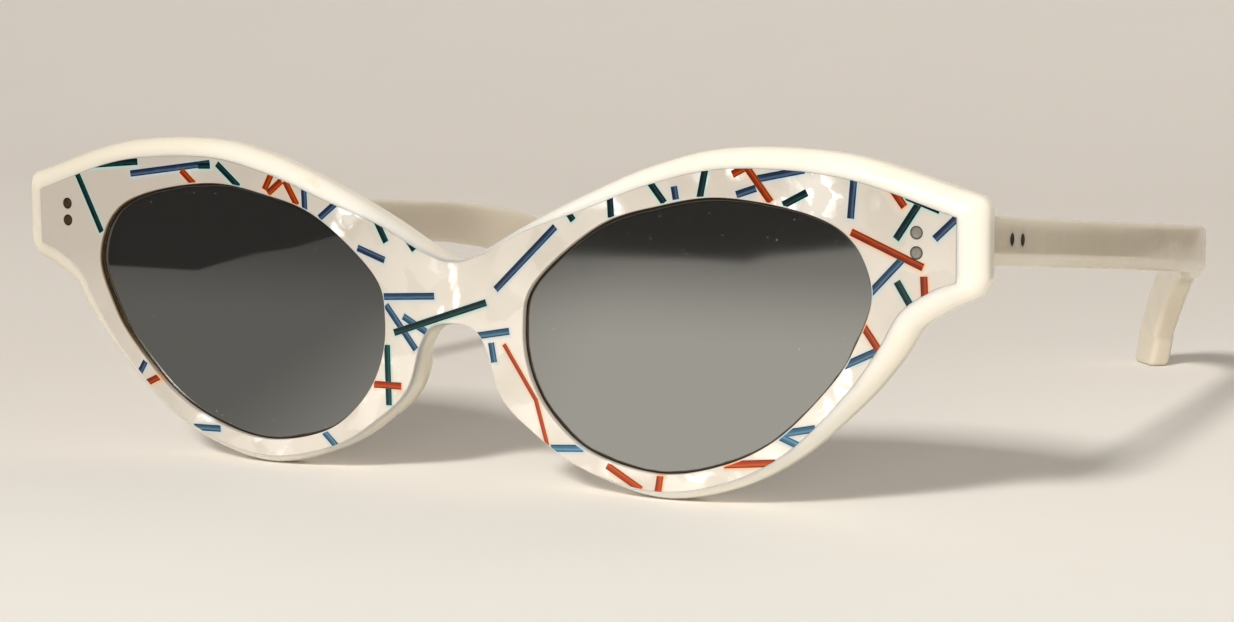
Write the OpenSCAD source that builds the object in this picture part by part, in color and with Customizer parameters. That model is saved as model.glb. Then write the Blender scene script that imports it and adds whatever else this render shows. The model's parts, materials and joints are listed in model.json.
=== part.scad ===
// Butterfly sunglasses: a laminated front with pearl panel and inlaid sticks, flat tinted lenses,
// and two straight temples on riveted three-barrel hinges.
// The front stands upright and faces -Y, the temples run back along +Y, and Z is up.
// The origin is the middle of the base, on the surface that the rims and the temple tips stand on.
// Left and right are the wearer's, so left is +X.

/* [Front] */
// Width of an end piece, outwards from the lens opening
end_w = 13.5; // [12.5:0.1:16]
// Thickness of the front, from the panel's face to the back
front_t = 4; // [3.6:0.1:5]
// How far the middle of the brow lies below the rivets
brow_dip = 4.6; // [3:0.1:7]
// How far the top of the nose arch lies below the rivets
arch_dip = 12.3; // [10.5:0.1:15]
// Width of the nose arch at half its height
nose_w = 14.2; // [11:0.2:17]
// How far the half height of the nose arch lies below the rivets
nose_dip = 21.2; // [19:0.1:23]
// How far the front leans back as it stands, in degrees
lean = 0.9; // [0:0.1:3]
// How far the panel's end rises above the rivets
end_rise = 3; // [2:0.1:5]
// How far the panel's end reaches below the rivets
end_fall = 4.4; // [3.4:0.1:6]

/* [Lenses] */
// Width of the lens opening
lens_w = 46.7; // [43:0.1:49]
// Height of the lens opening
lens_h = 33.7; // [30:0.1:37]
// Gap between the two lens openings
lens_gap = 20.6; // [18:0.1:24]
// How far the lens centres lie below the rivets
lens_dip = 12.4; // [11:0.1:14]
// Thickness of a lens
lens_t = 1.8; // [1.4:0.1:2.2]
// How far a lens lies behind the panel's face
lens_inset = 0.9; // [0.5:0.1:1.2]
// Height of the vee round a lens edge
vee_h = 0.7; // [0.4:0.05:0.9]
// Clearance between a lens and its groove
lens_fit = 0.05; // [0.02:0.01:0.1]

/* [Rims] */
// Width of the panel above a lens
rim_top = 3.6; // [2.6:0.1:5]
// Width of the panel below a lens
rim_low = 2.1; // [1.4:0.1:3.5]
// Width of the polished bevel at the end pieces
bevel_end = 3.2; // [2:0.1:4]
// Width of the bevel along the brow
bevel_top = 2.4; // [1.5:0.1:3.5]
// Width of the bevel under the end pieces
bevel_under = 2.7; // [1.8:0.1:3.2]
// Width of the bevel along the bottom
bevel_low = 1.1; // [0.6:0.1:2]
// Width of the bevel round the bridge and the nose
bevel_nose = 0.35; // [0.2:0.05:1]
// Depth of the bevel
bevel_t = 2.1; // [1.4:0.1:2.6]
// Flat edge between the panel and the bevel
lip_w = 0.06; // [0.04:0.01:0.08]
// Radius of the end pieces' upper corners
corner_r = 1.8; // [0.6:0.1:2.6]
// Radius of the end pieces' lower corners
foot_r = 3.2; // [0.8:0.1:3.8]
// Rounding along the back edge of the front
back_round = 0.5; // [0.2:0.1:0.8]
// How far the back edge is filed away round the nose
nose_file = 1; // [0:0.1:1.4]

/* [Panel] */
// Thickness of the pearl panel let into the front
panel_t = 0.8; // [0.5:0.1:1]
// Thickness of the coloured sticks let into the panel
stick_t = 0.3; // [0.2:0.05:0.4]
// Width of a stick
stick_w = 0.9; // [0.6:0.05:1.3]

/* [Nose pads] */
// How far a nose pad stands behind the front
pad_t = 4.2; // [3:0.1:6]
// Radius of a nose pad's crown
pad_r = 2.3; // [1.8:0.1:2.7]

/* [Hinges] */
// Height of a hinge
hinge_h = 4.6; // [3.8:0.1:5]
// Height of the middle barrel
barrel_h = 1.8; // [1.2:0.1:2.2]
// Radius of the hinge barrels
barrel_r = 1.3; // [1.2:0.05:1.5]
// Thickness of a hinge leaf
leaf_t = 0.9; // [0.6:0.05:1.1]
// Length of the leaf on the front, from the hinge pin
front_leaf_l = 4.6; // [4:0.1:5.5]
// Length of the leaf on a temple, from the hinge pin
temple_leaf_l = 12.6; // [11.6:0.1:15]
// Radius of the hinge screw
pin_r = 0.6; // [0.5:0.02:0.7]
// Clearance between the screw and the barrels
pin_fit = 0.05; // [0.02:0.01:0.09]
// Clearance between faces that turn past each other
turn_fit = 0.1; // [0.06:0.01:0.2]
// Radius of the screw's head
screw_head_r = 1.1; // [0.9:0.05:1.25]
// Height of the screw's head
screw_head_h = 0.7; // [0.5:0.05:0.9]

/* [Rivets] */
// Radius of a rivet's head
rivet_head_r = 0.75; // [0.65:0.05:0.9]
// Thickness of a rivet's head
rivet_head_t = 0.6; // [0.4:0.05:0.7]
// Radius of a rivet's shank
rivet_r = 0.5; // [0.4:0.02:0.55]
// Distance between the two rivets of the front
front_rivet_gap = 2.3; // [2:0.1:2.6]
// Distance from the front's end to its rivets
front_rivet_in = 8; // [7:0.1:8.6]
// Distance between the two rivets of a temple
temple_rivet_gap = 3.6; // [2.6:0.1:4]
// Distance from the hinge pin to the first rivet of a temple
temple_rivet_in = 5.8; // [3:0.1:6.6]
// How far a temple's rivets lie above its middle line
temple_rivet_up = 0.3; // [0:0.1:1]

/* [Temples] */
// How far the temples reach behind the front's face
temple_reach = 135; // [124:1:145]
// Where the bend over the ear begins
temple_bend = 104; // [92:1:112]
// Height of a temple at the hinge
temple_root_h = 5.9; // [5.4:0.1:7]
// Height of a temple at the bend
temple_bend_h = 7.2; // [5.5:0.1:8.5]
// Height of a temple at its tip
temple_tip_h = 6.8; // [4:0.1:7]
// Thickness of a temple
temple_w = 3.8; // [3.4:0.1:4.6]
// Distance from the front's end to a temple's outer face
temple_in = 0.6; // [0.2:0.1:1.2]
// Fall of a temple on its way to the bend, in degrees
temple_pitch = 5.2; // [3:0.1:6]
// How far the bend lies inside the temple's root
bend_in = 3.4; // [2:0.1:7]
// How far the tip lies inside the bend
tip_in = 14.2; // [6:0.2:16]
// Height of the chamfer along a temple's lower outer edge
chamfer_h = 1.4; // [0.6:0.1:1.8]
// Depth of that chamfer
chamfer_d = 0.9; // [0.4:0.1:1.2]

/* [Hidden] */
// How much longer a cut is than what it cuts
over = 1;
// Flats on round pieces, and points between neighbours on a curve and round a corner
round_n = 48;
rim_n = 4;
lens_n = 4;
temple_n = 3;
corner_n = 3;
// Clearance round a seated piece, and the height of a rivet's closed end
seat_fit = 0.02;
peen_t = 0.25;

// Lens shape, clockwise from the temple: place in halves of the opening, and the panel's width there
LENS = [
    [0.91, 0, rim_low + 0.9], [0.775, -0.285, rim_low + 0.2], [0.488, -0.676, rim_low - 0.1],
    [0.174, -0.9, rim_low], [-0.19, -1, rim_low + 0.1], [-0.58, -0.895, rim_low + 0.3],
    [-0.82, -0.66, rim_low + 1.3], [-0.96, -0.355, 0], [-1, 0, 0], [-0.93, 0.34, 0],
    [-0.55, 0.765, rim_top - 0.8], [-0.18, 0.93, rim_top - 0.8], [0.19, 1, rim_top],
    [0.655, 0.905, rim_top + 2.5], [0.9, 0.72, 0], [1, 0.37, 0]];

// Width of front that the sticks were laid out for; their places spread out with it
laid_w = 141;
// Coloured sticks: middle in x and z from the rivets, length and slant
ORANGE = [
    [-10, -20.8, 4.2, 0], [9.9, -18, 8.3, 124], [12.9, -24, 6, 106], [24.5, -30, 5.4, 151],
    [29.4, -30, 3.4, 80], [41.5, -27, 6.8, 6], [56.8, -10.9, 4, 126], [63.5, -5.3, 3, 93],
    [58.9, -0.9, 9.6, 157], [60.3, 5, 2.4, 127], [40.4, 7.8, 2.4, 27], [42.7, 6.2, 5.2, 128],
    [-41.5, 5.2, 2.8, 139], [-28.3, 4.8, 2.2, 61], [-27.2, 4.2, 2.8, 37], [-24.6, 3.5, 3.6, 121],
    [-48.7, -22.6, 3.6, 24]];
GREEN = [
    [-1.9, -11.7, 14.6, 18], [-10.6, -1, 3.2, 118], [-6.2, -2.4, 2.2, 128], [-9.9, -19.5, 7.8, 91],
    [61.2, -6.2, 4, 122], [61.4, 2.4, 5, 56], [63.3, 4.5, 4.3, 160], [47.4, 4.6, 3.4, 27],
    [35.4, 6.2, 3.6, 78], [29.2, 5, 3.4, 129], [22.9, 3.2, 3, 93], [17.1, 2, 2, 127],
    [-58.6, 1.4, 9, 117], [-54.3, 6.8, 8.7, 4], [-38.7, 6.8, 2, 1], [-34.8, 5.6, 4.6, 140]];
BLUE = [
    [10.8, -3.7, 11.9, 43], [-6.5, -9.2, 7.7, 3], [-7.8, -13.2, 7.1, 129], [-5.7, -12.7, 3.9, 152],
    [-12.2, -4, 4.4, 161], [6, -13.3, 4.8, 10], [5.9, -15.7, 2.5, 100], [16.5, -27, 4.6, 4],
    [48, -22.6, 4.1, 12], [46.9, -24, 3, 160], [55.7, -13.6, 5.2, 25], [58.7, -4.1, 6, 46],
    [66.1, 1.8, 3.8, 43], [54.6, 4.8, 4.6, 85], [41.1, 5.3, 2.7, 18], [45.6, 7.4, 6.1, 11],
    [31.7, 4.9, 1.6, 100], [-44.5, 6.3, 13.6, 7], [-22.5, 2.9, 3, 92], [-18.8, 1.4, 3.4, 37],
    [-50.3, -21.1, 2.6, 57], [-39.3, -28.4, 4.5, 1], [-19, -28.6, 3, 138]];

// Places on the front, with x out from the middle, y back from the panel's face and z from the rivets
lens_x = (lens_gap + lens_w) / 2;
front_w = 2 * (lens_x + lens_w / 2 + end_w);
end_x = front_w / 2 - bevel_end;
rivet_x = front_w / 2 - front_rivet_in;
temple_face = front_w / 2 - temple_in;
temple_inner = temple_face - temple_w;
pin_x = temple_inner - barrel_r - turn_fit;
pin_y = front_t + barrel_r + turn_fit;

function flat(p) = [p.x, p.y];
function unit(v) = v / norm(v);
// Outward side of a step along a clockwise outline, and the offset where two steps meet
function side(v) = [-v.y, v.x] / norm(v);
function mitre(a, b) = (a + b) / (1 + a * b);

function lifted(line, y) = [for (q = line) [q.x, y, q.y]];

// Smooth curves through a list of points, open or closed, with n steps between neighbours
function pull(a, b, c, d, t) =
    0.5 * (2 * b + (c - a) * t + (2 * a - 5 * b + 4 * c - d) * t * t + (3 * b - a - 3 * c + d) * t * t * t);
function curve(p, n, after = undef) = let (
        m = len(p) - 1,
        q = concat([2 * p[0] - p[1]], p, [is_undef(after) ? 2 * p[m] - p[m - 1] : after]))
    concat([for (i = [0:m - 1], k = [0:n - 1]) pull(q[i], q[i + 1], q[i + 2], q[i + 3], k / n)], [p[m]]);
function ring(p, n) = let (m = len(p)) [for (i = [0:m - 1], k = [0:n - 1])
    pull(p[(i + m - 1) % m], p[i], p[(i + 1) % m], p[(i + 2) % m], k / n)];

// Outline of a lens opening about its middle, grown by more
function lens_line(more) =
    let (p = ring([for (r = LENS) [r.x * lens_w / 2, r.y * lens_h / 2]], lens_n), m = len(p))
    [for (i = [0:m - 1]) p[i] + mitre(side(p[i] - p[(i + m - 1) % m]), side(p[(i + 1) % m] - p[i])) * more];

// The panel's edge on the left half, each point with the bevel's width and the share of the filing there
function beside(i, bevel) = let (q = [LENS[i].x * lens_w / 2, LENS[i].y * lens_h / 2])
    concat([lens_x, -lens_dip] + q * (1 + LENS[i][2] / norm(q)), [bevel, 0]);
BROW = [
    [0, -brow_dip, bevel_nose, 0], [0.1 * lens_gap, 0.25 - brow_dip, 1.2 * bevel_nose, 0],
    [0.275 * lens_gap, 1.7 - brow_dip, 2 * bevel_nose, 0],
    [0.54 * lens_gap, 4.4 - brow_dip, 0.4 * bevel_top, 0], beside(10, 0.76 * bevel_top),
    beside(11, 0.92 * bevel_top), beside(12, bevel_top), beside(13, 1.08 * bevel_top),
    [end_x, end_rise, 1.2 * bevel_top, 0]];
LOWER = [
    [end_x, -end_fall, 0.9 * bevel_under, 0], [end_x - 2.8, -end_fall - 1, bevel_under, 0],
    [end_x - 6.7, -end_fall - 3.6, bevel_under, 0], beside(0, 0.9 * bevel_under), beside(1, 1.7 * bevel_low),
    beside(2, 1.1 * bevel_low), beside(3, bevel_low), beside(4, bevel_low), beside(5, 1.3 * bevel_nose),
    beside(6, bevel_nose), [nose_w / 2, -nose_dip, bevel_nose, 0.8],
    [nose_w / 2 - 2.1, -nose_dip + 5.8, bevel_nose, 1], [nose_w / 2 - 4, -arch_dip - 0.6, bevel_nose, 1],
    [0, -arch_dip, bevel_nose, 0.8]];
// A point on the other half of the front
function across(p) = [-p.x, p.y, p[2], p[3]];

// A corner between two directions, with both sides moved out and rounded by an arc of radius r
function corner(at, from, to, out_1, out_2, r) = let (turn = acos(from * to),
        tip = at + side(from) * out_1 + from * (out_2 - out_1 * cos(turn)) / sin(turn),
        centre = tip - from * r * tan(turn / 2) - side(from) * r)
    [for (k = [0:corner_n], a = turn * k / corner_n) centre + (side(from) * cos(a) + from * sin(a)) * r];
// Outline of the front, clockwise from before, with a share of the bevel and more added and some filed off
function moved(p, share, more, file) =
    [for (i = [1:len(p) - 2]) let (out = p[i][2] * share + more - p[i][3] * file)
        flat(p[i]) + mitre(side(p[i] - p[i - 1]), side(p[i + 1] - p[i])) * out];
function front_line(share, more, file = 0) = let (
        b = curve(BROW, rim_n),
        l = curve(LOWER, rim_n, after = across(LOWER[len(LOWER) - 2])),
        first = b[len(b) - 1], last = l[len(l) - 1],
        in_1 = unit(flat(first - b[len(b) - 2])), down = [0, -1], out_2 = unit(flat(l[1] - l[0])),
        end = bevel_end * share + more, half = concat(
            [[0, b[0].y + b[0][2] * share + more]],
            moved(b, share, more, file),
            corner(flat(first), in_1, down, first[2] * share + more, end, max(0.2, corner_r * share + more)),
            corner(flat(l[0]), down, out_2, end, l[0][2] * share + more, max(0.2, foot_r * share + more)),
            moved(l, share, more, file),
            [[0, last.y - last[2] * share - more + last[3] * file]]))
    concat(half, [for (i = [len(half) - 2:-1:1]) [-half[i].x, half[i].y]]);

// From the panel's bed over the edge to the back: share of the bevel, how much further out, depth and filing
EDGE = [
    [0, 0, panel_t, 0], [0, 0, 0, 0], [0, lip_w, 0, 0],
    [0.42, 0, 0.16 * bevel_t, 0], [0.76, 0, 0.46 * bevel_t, 0], [0.94, 0, 0.76 * bevel_t, 0],
    [1, 0, bevel_t, 0], [1, 0, max(bevel_t + 0.1, front_t - max(back_round, nose_file) - 0.2), 0],
    [1, 0, front_t - back_round, 0.4 * nose_file],
    [1, -0.3 * back_round, front_t - 0.3 * back_round, 0.7 * nose_file],
    [1, -back_round, front_t, nose_file]];
FRONT = [for (e = EDGE) lifted(front_line(e[0], e[1], e[3]), e[2])];

// The front leans back about the middle of its face, and everything is set on its feet
function leant(q) = [q.x, q.y * cos(lean) + q.z * sin(lean), q.z * cos(lean) - q.y * sin(lean)];
function lowest(rings) = min([for (r = rings, q = r) leant(q).z]);
function farthest(rings) = max([for (r = rings, q = r) leant(q).y]);
function nearest(rings) = min([for (r = rings, q = r) leant(q).y]);
base = lowest(FRONT);
face = nearest(FRONT);

// Middle line of a temple from its root to its tip, each point with height and thickness there
fall = tan(temple_pitch);
middle_x = temple_face - temple_w / 2;
straight = pin_y + temple_leaf_l + 1;
bend = [middle_x - bend_in, temple_bend, -fall * (temple_bend - pin_y)];
function temple_line(tip) = let (run = tip[0] - temple_bend, drop = tip[1] - bend.z)
    curve([
        [middle_x, front_t - over, fall * (barrel_r + turn_fit + over), temple_root_h, temple_w],
        [middle_x, straight, -fall * (straight - pin_y), temple_root_h, temple_w],
        [middle_x, straight + 8, -fall * (straight + 8 - pin_y), temple_root_h + 0.1, temple_w],
        [middle_x - 0.22 * bend_in, 0.56 * temple_bend, -fall * (0.56 * temple_bend - pin_y),
            (2 * temple_root_h + temple_bend_h) / 3, temple_w],
        [middle_x - 0.62 * bend_in, 0.83 * temple_bend, -fall * (0.83 * temple_bend - pin_y),
            (temple_root_h + 2 * temple_bend_h) / 3, temple_w],
        [bend.x, bend.y, bend.z - 0.2, temple_bend_h, temple_w],
        bendward(0.21, 0.36, 0.14, run, drop, temple_bend_h, temple_w),
        bendward(0.5, 0.64, 0.41, run, drop, temple_bend_h - 0.2, temple_w),
        bendward(0.79, 0.84, 0.72, run, drop, temple_tip_h, temple_w),
        bendward(1, 1, 1, run, drop, temple_tip_h, temple_w)], temple_n);
function bendward(in, back, down, run, drop, h, w) =
    [bend.x - in * tip_in, bend.y + back * run, bend.z + down * drop, h, w];
// Section of a temple, clockwise from the inner top corner, with a chamfer along its lower outer edge
function section(h, w) = let (r = min(0.9, 0.3 * w), q = 0.3 * r, cd = chamfer_d * w / temple_w)
    [[-w / 2, h / 2 - r], [-w / 2 + q, h / 2 - q], [-w / 2 + r, h / 2], [w / 2 - r, h / 2],
     [w / 2 - q, h / 2 - q], [w / 2, h / 2 - r], [w / 2, -h / 2 + chamfer_h],
     [w / 2 - 0.12 * cd, -h / 2 + 0.72 * chamfer_h],
     [w / 2 - cd, -h / 2 + 0.1 * chamfer_h], [w / 2 - cd - 0.4, -h / 2], [-w / 2 + r, -h / 2],
     [-w / 2 + q, -h / 2 + q], [-w / 2, -h / 2 + r]];
// Sections along the line, then a round end: [how far on, share of the height, share of the thickness]
ROUND_END = [[0.2, 0.93, 0.97], [0.38, 0.74, 0.84], [0.47, 0.5, 0.6]];
function temple_rings(tip) = let (p = temple_line(tip), m = len(p) - 1)
    concat(
        [for (i = [0:m]) placed(p[i], along(p, i), section(p[i][3], p[i][4]), 0)],
        [for (e = ROUND_END)
            placed(p[m], along(p, m), section(p[m][3] * e[1], p[m][4] * e[2]), e[0] * p[m][3])]);
function along(p, i) = let (v = p[min(i + 1, len(p) - 1)] - p[max(i - 1, 0)]) unit([v.x, v.y, v.z]);
function placed(p, t, outline, on) = let (h = unit([0, 0, 1] - t * t.z), s = cross(t, h))
    [for (q = outline) [p.x, p.y, p.z] + t * on + s * q.x + h * q.y];
// The tip is moved until it reaches as far as it should and stands on the same surface as the rims
function settled(tip, tries) = let (r = temple_rings(tip)) tries == 0 ? r
    : settled(tip + [temple_reach + face - farthest(r), base - lowest(r)], tries - 1);
TEMPLE = settled([temple_reach, base + temple_tip_h / 2], 4);

// Solid through a stack of closed rings of 3D points, each clockwise as seen from before the first
module loft(rings) {
    m = len(rings[0]);
    n = len(rings);
    polyhedron(
        points = [for (r = rings, q = r) q],
        faces = concat(
            [[for (i = [0:m - 1]) i]],
            [for (k = [0:n - 2], i = [0:m - 1]) each [
                [k * m + i, (k + 1) * m + i, (k + 1) * m + (i + 1) % m],
                [k * m + i, (k + 1) * m + (i + 1) % m, k * m + (i + 1) % m]]],
            [[for (i = [m - 1:-1:0]) (n - 1) * m + i]]));
}
// Plate of thickness t behind depth y, from a flat shape in x and z
module plate(y, t) { translate([0, y + t, 0]) rotate([90, 0, 0]) linear_extrude(t) children(); }
module mirrored(left) { if (left) children(); else mirror([1, 0, 0]) children(); }
module both() { for (left = [true, false]) mirrored(left) children(); }
// Sets what is drawn from the panel's face and the rivets' height on its feet, about the origin
module stand(left = true) {
    translate([0, -face - temple_reach / 2, -base]) rotate([-lean, 0, 0]) mirrored(left) children();
}
// What turns with a temple's slope about the hinge pin
module pitched() { translate([0, pin_y, 0]) rotate([-temple_pitch, 0, 0]) children(); }

module front_frame() {
    color("ivory") stand() difference() {
        loft(FRONT);
        both() {
            translate([lens_x, 0, -lens_dip]) plate(-over, front_t + 2 * over) polygon(lens_line(0));
            translate([lens_x, 0, -lens_dip])
                lens_solid(vee_h + lens_fit, lens_inset - lens_fit, lens_t + 2 * lens_fit, 0);
            front_leaf_plate(seat_fit, over);
            front_rivet_places() plate(0, front_t) circle(rivet_r + seat_fit, $fn = round_n);
        }
    }
}
module panel_shape() {
    difference() {
        polygon(front_line(0, 0));
        both() translate([lens_x, -lens_dip]) polygon(lens_line(0));
        both() for (k = [-0.5, 0.5]) translate([rivet_x, k * front_rivet_gap])
            circle(rivet_head_r + seat_fit, $fn = round_n);
    }
}
module stick_shapes(sticks) {
    for (s = sticks) translate([s.x * front_w / laid_w, s.y]) rotate(s[3])
        square([s[2], stick_w], center = true);
}
module pearl_face() {
    color("whitesmoke") stand() difference() {
        plate(0, panel_t) panel_shape();
        plate(-over, stick_t + over) stick_shapes(concat(ORANGE, GREEN, BLUE));
    }
}
module inlay(sticks, over_them) {
    stand() plate(0, stick_t) difference() {
        intersection() {
            panel_shape();
            stick_shapes(sticks);
        }
        stick_shapes(over_them);
    }
}
module inlay_orange() { color("orangered") inlay(ORANGE, []); }
module inlay_green() { color("darkgreen") inlay(GREEN, ORANGE); }
module inlay_blue() { color("steelblue") inlay(BLUE, concat(ORANGE, GREEN)); }

module lens_solid(vee, y, t, fit) {
    loft([lifted(lens_line(-fit), y), lifted(lens_line(vee), y + t / 2), lifted(lens_line(-fit), y + t)]);
}
module lens(left) {
    color("dimgray", 0.6) stand(left) translate([lens_x, 0, -lens_dip])
        lens_solid(vee_h, lens_inset, lens_t, lens_fit);
}

module nose_pad(left) {
    slope_r = 0.7 * pad_r;
    color("antiquewhite") stand(left) intersection() {
        hull() {
            translate([nose_w / 2 + 0.4 + pad_r, front_t + pad_t - pad_r, -nose_dip + 0.6])
                sphere(pad_r, $fn = 28);
            translate([nose_w / 2 - 1 + slope_r, front_t + 0.3, -nose_dip + 5]) sphere(slope_r, $fn = 28);
            translate([nose_w / 2 + 4 + slope_r, front_t + 0.3, -nose_dip - 3.2]) sphere(slope_r, $fn = 28);
        }
        plate(front_t, pad_t + over) translate([0, -lens_dip - lens_h]) square([lens_x, lens_h + lens_dip]);
    }
}

module front_rivet_places() {
    for (k = [-0.5, 0.5]) translate([rivet_x, 0, k * front_rivet_gap]) children();
}
module front_rivets(left) {
    color("gray") stand(left) front_rivet_places() {
        plate(0, rivet_head_t) circle(rivet_head_r, $fn = round_n);
        plate(rivet_head_t, front_t - rivet_head_t) circle(rivet_r, $fn = round_n);
        plate(front_t, peen_t) circle(rivet_head_r, $fn = round_n);
    }
}
module barrel(bottom, top, r) {
    translate([pin_x, pin_y, bottom]) cylinder(h = top - bottom, r = r, $fn = round_n);
}
module front_leaf_plate(fit, back) {
    translate([pin_x - front_leaf_l - fit, front_t - leaf_t, -hinge_h / 2 - fit])
        cube([front_leaf_l + 0.6 * barrel_r + 2 * fit, leaf_t + back, hinge_h + 2 * fit]);
}
module hinge_front_leaf(left) {
    low = barrel_h / 2 + turn_fit;
    color("silver") stand(left) difference() {
        union() {
            front_leaf_plate(0, 0);
            for (up = [0, 1]) mirror([0, 0, up]) {
                barrel(low, hinge_h / 2, barrel_r);
                translate([pin_x - barrel_r, front_t - leaf_t, low])
                    cube([1.6 * barrel_r, leaf_t + barrel_r + turn_fit, hinge_h / 2 - low]);
            }
        }
        barrel(-hinge_h / 2 - over, hinge_h / 2 + over, pin_r + pin_fit);
        front_rivet_places() plate(0, front_t + over) circle(rivet_r + seat_fit, $fn = round_n);
    }
}
module hinge_screw(left) {
    color("gainsboro") stand(left) difference() {
        union() {
            barrel(-hinge_h / 2, hinge_h / 2, pin_r);
            barrel(hinge_h / 2, hinge_h / 2 + screw_head_h, screw_head_r);
        }
        translate([pin_x - 0.2, pin_y - screw_head_r - over, hinge_h / 2 + 0.5 * screw_head_h])
            cube([0.4, 2 * (screw_head_r + over), screw_head_h]);
    }
}

module temple_leaf_plate(fit, inner) {
    pitched() translate([temple_inner - inner, -0.7 * barrel_r - fit, -hinge_h / 2 - fit])
        cube([leaf_t + inner, 0.7 * barrel_r + temple_leaf_l + 2 * fit, hinge_h + 2 * fit]);
}
module temple_rivet_places() {
    pitched() for (k = [0, 1])
        translate([temple_inner, temple_rivet_in + k * temple_rivet_gap, temple_rivet_up])
            rotate([0, 90, 0]) children();
}
module temple(left) {
    color("floralwhite") stand(left) difference() {
        loft(TEMPLE);
        translate([temple_inner - over, front_t - 2 * over, -temple_root_h])
            cube([temple_w + 2 * over, 2 * over + pin_fit, 2 * temple_root_h]);
        temple_leaf_plate(seat_fit, over);
        temple_rivet_places() translate([0, 0, -over])
            cylinder(h = temple_w + 2 * over, r = rivet_r + seat_fit, $fn = round_n);
        temple_rivet_places() translate([0, 0, temple_w - rivet_head_t])
            cylinder(h = rivet_head_t + over, r = rivet_head_r + seat_fit, $fn = round_n);
    }
}
module hinge_temple_leaf(left) {
    color("silver") stand(left) difference() {
        union() {
            temple_leaf_plate(0, 0);
            barrel(-barrel_h / 2, barrel_h / 2, barrel_r);
            translate([pin_x, pin_y - 0.7 * barrel_r, -barrel_h / 2])
                cube([barrel_r + turn_fit + leaf_t / 2, 1.7 * barrel_r, barrel_h]);
        }
        barrel(-hinge_h / 2, hinge_h / 2, pin_r + pin_fit);
        temple_rivet_places() translate([0, 0, -over])
            cylinder(h = leaf_t + 2 * over, r = rivet_r + seat_fit, $fn = round_n);
    }
}
module temple_rivets(left) {
    color("gray") stand(left) temple_rivet_places() {
        translate([0, 0, -peen_t]) cylinder(h = peen_t, r = rivet_head_r, $fn = round_n);
        cylinder(h = temple_w - rivet_head_t, r = rivet_r, $fn = round_n);
        translate([0, 0, temple_w - rivet_head_t])
            cylinder(h = rivet_head_t, r = rivet_head_r, $fn = round_n);
    }
}

front_frame();
pearl_face();
inlay_orange();
inlay_green();
inlay_blue();
lens(true);  // lens_left
lens(false);  // lens_right
nose_pad(true);  // nose_pad_left
nose_pad(false);  // nose_pad_right
hinge_front_leaf(true);  // hinge_front_leaf_left
hinge_front_leaf(false);  // hinge_front_leaf_right
front_rivets(true);  // front_rivets_left
front_rivets(false);  // front_rivets_right
hinge_screw(true);  // hinge_screw_left
hinge_screw(false);  // hinge_screw_right
temple(true);  // temple_left
temple(false);  // temple_right
hinge_temple_leaf(true);  // hinge_temple_leaf_left
hinge_temple_leaf(false);  // hinge_temple_leaf_right
temple_rivets(true);  // temple_rivets_left
temple_rivets(false);  // temple_rivets_right
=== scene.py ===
"""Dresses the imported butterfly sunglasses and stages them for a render.

Every new piece is worked out in the front's own coordinates, in millimetres: x runs out from the middle of
the front, y back from the panel's face and z up from the line of the hinge rivets. A Stance then leans the
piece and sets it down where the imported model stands. Left is the wearer's left, at +X.
"""

from __future__ import annotations

import json
import logging
import math
from dataclasses import dataclass
from enum import Enum
from itertools import product
from typing import Iterable, Sequence
import bmesh
import bpy
import numpy as np
from mathutils import Matrix, Vector
from mathutils.geometry import delaunay_2d_cdt

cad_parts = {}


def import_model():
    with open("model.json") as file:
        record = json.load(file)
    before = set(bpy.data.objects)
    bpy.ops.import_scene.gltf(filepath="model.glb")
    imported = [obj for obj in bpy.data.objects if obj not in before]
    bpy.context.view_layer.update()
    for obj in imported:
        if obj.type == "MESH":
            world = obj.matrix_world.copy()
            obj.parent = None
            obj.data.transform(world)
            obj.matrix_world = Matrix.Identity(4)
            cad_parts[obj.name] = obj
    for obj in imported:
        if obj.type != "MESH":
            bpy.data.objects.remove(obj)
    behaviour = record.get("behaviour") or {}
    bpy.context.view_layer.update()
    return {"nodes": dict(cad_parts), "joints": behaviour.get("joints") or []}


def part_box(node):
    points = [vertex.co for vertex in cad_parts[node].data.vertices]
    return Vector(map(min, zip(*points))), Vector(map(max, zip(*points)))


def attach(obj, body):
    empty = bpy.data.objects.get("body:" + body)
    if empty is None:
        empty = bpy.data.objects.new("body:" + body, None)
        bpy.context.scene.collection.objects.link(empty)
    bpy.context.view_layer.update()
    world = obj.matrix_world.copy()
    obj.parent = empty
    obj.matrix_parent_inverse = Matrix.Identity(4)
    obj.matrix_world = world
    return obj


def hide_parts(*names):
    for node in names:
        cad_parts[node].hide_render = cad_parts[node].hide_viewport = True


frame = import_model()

log = logging.getLogger("sunglasses")
MM = 0.001
PLASTIC_IOR = 1.5
Colour = tuple[float, float, float]


class Side(Enum):
    """Which half of the glasses a piece belongs to; its value is the sign of x."""

    LEFT = 1
    RIGHT = -1

    @property
    def word(self) -> str:
        """The word that node and body names end with."""
        return self.name.lower()


# Shapes


def unit(vectors: np.ndarray) -> np.ndarray:
    """Vectors of the same directions with length 1, along the last axis."""
    return vectors / np.linalg.norm(vectors, axis=-1, keepdims=True)


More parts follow.
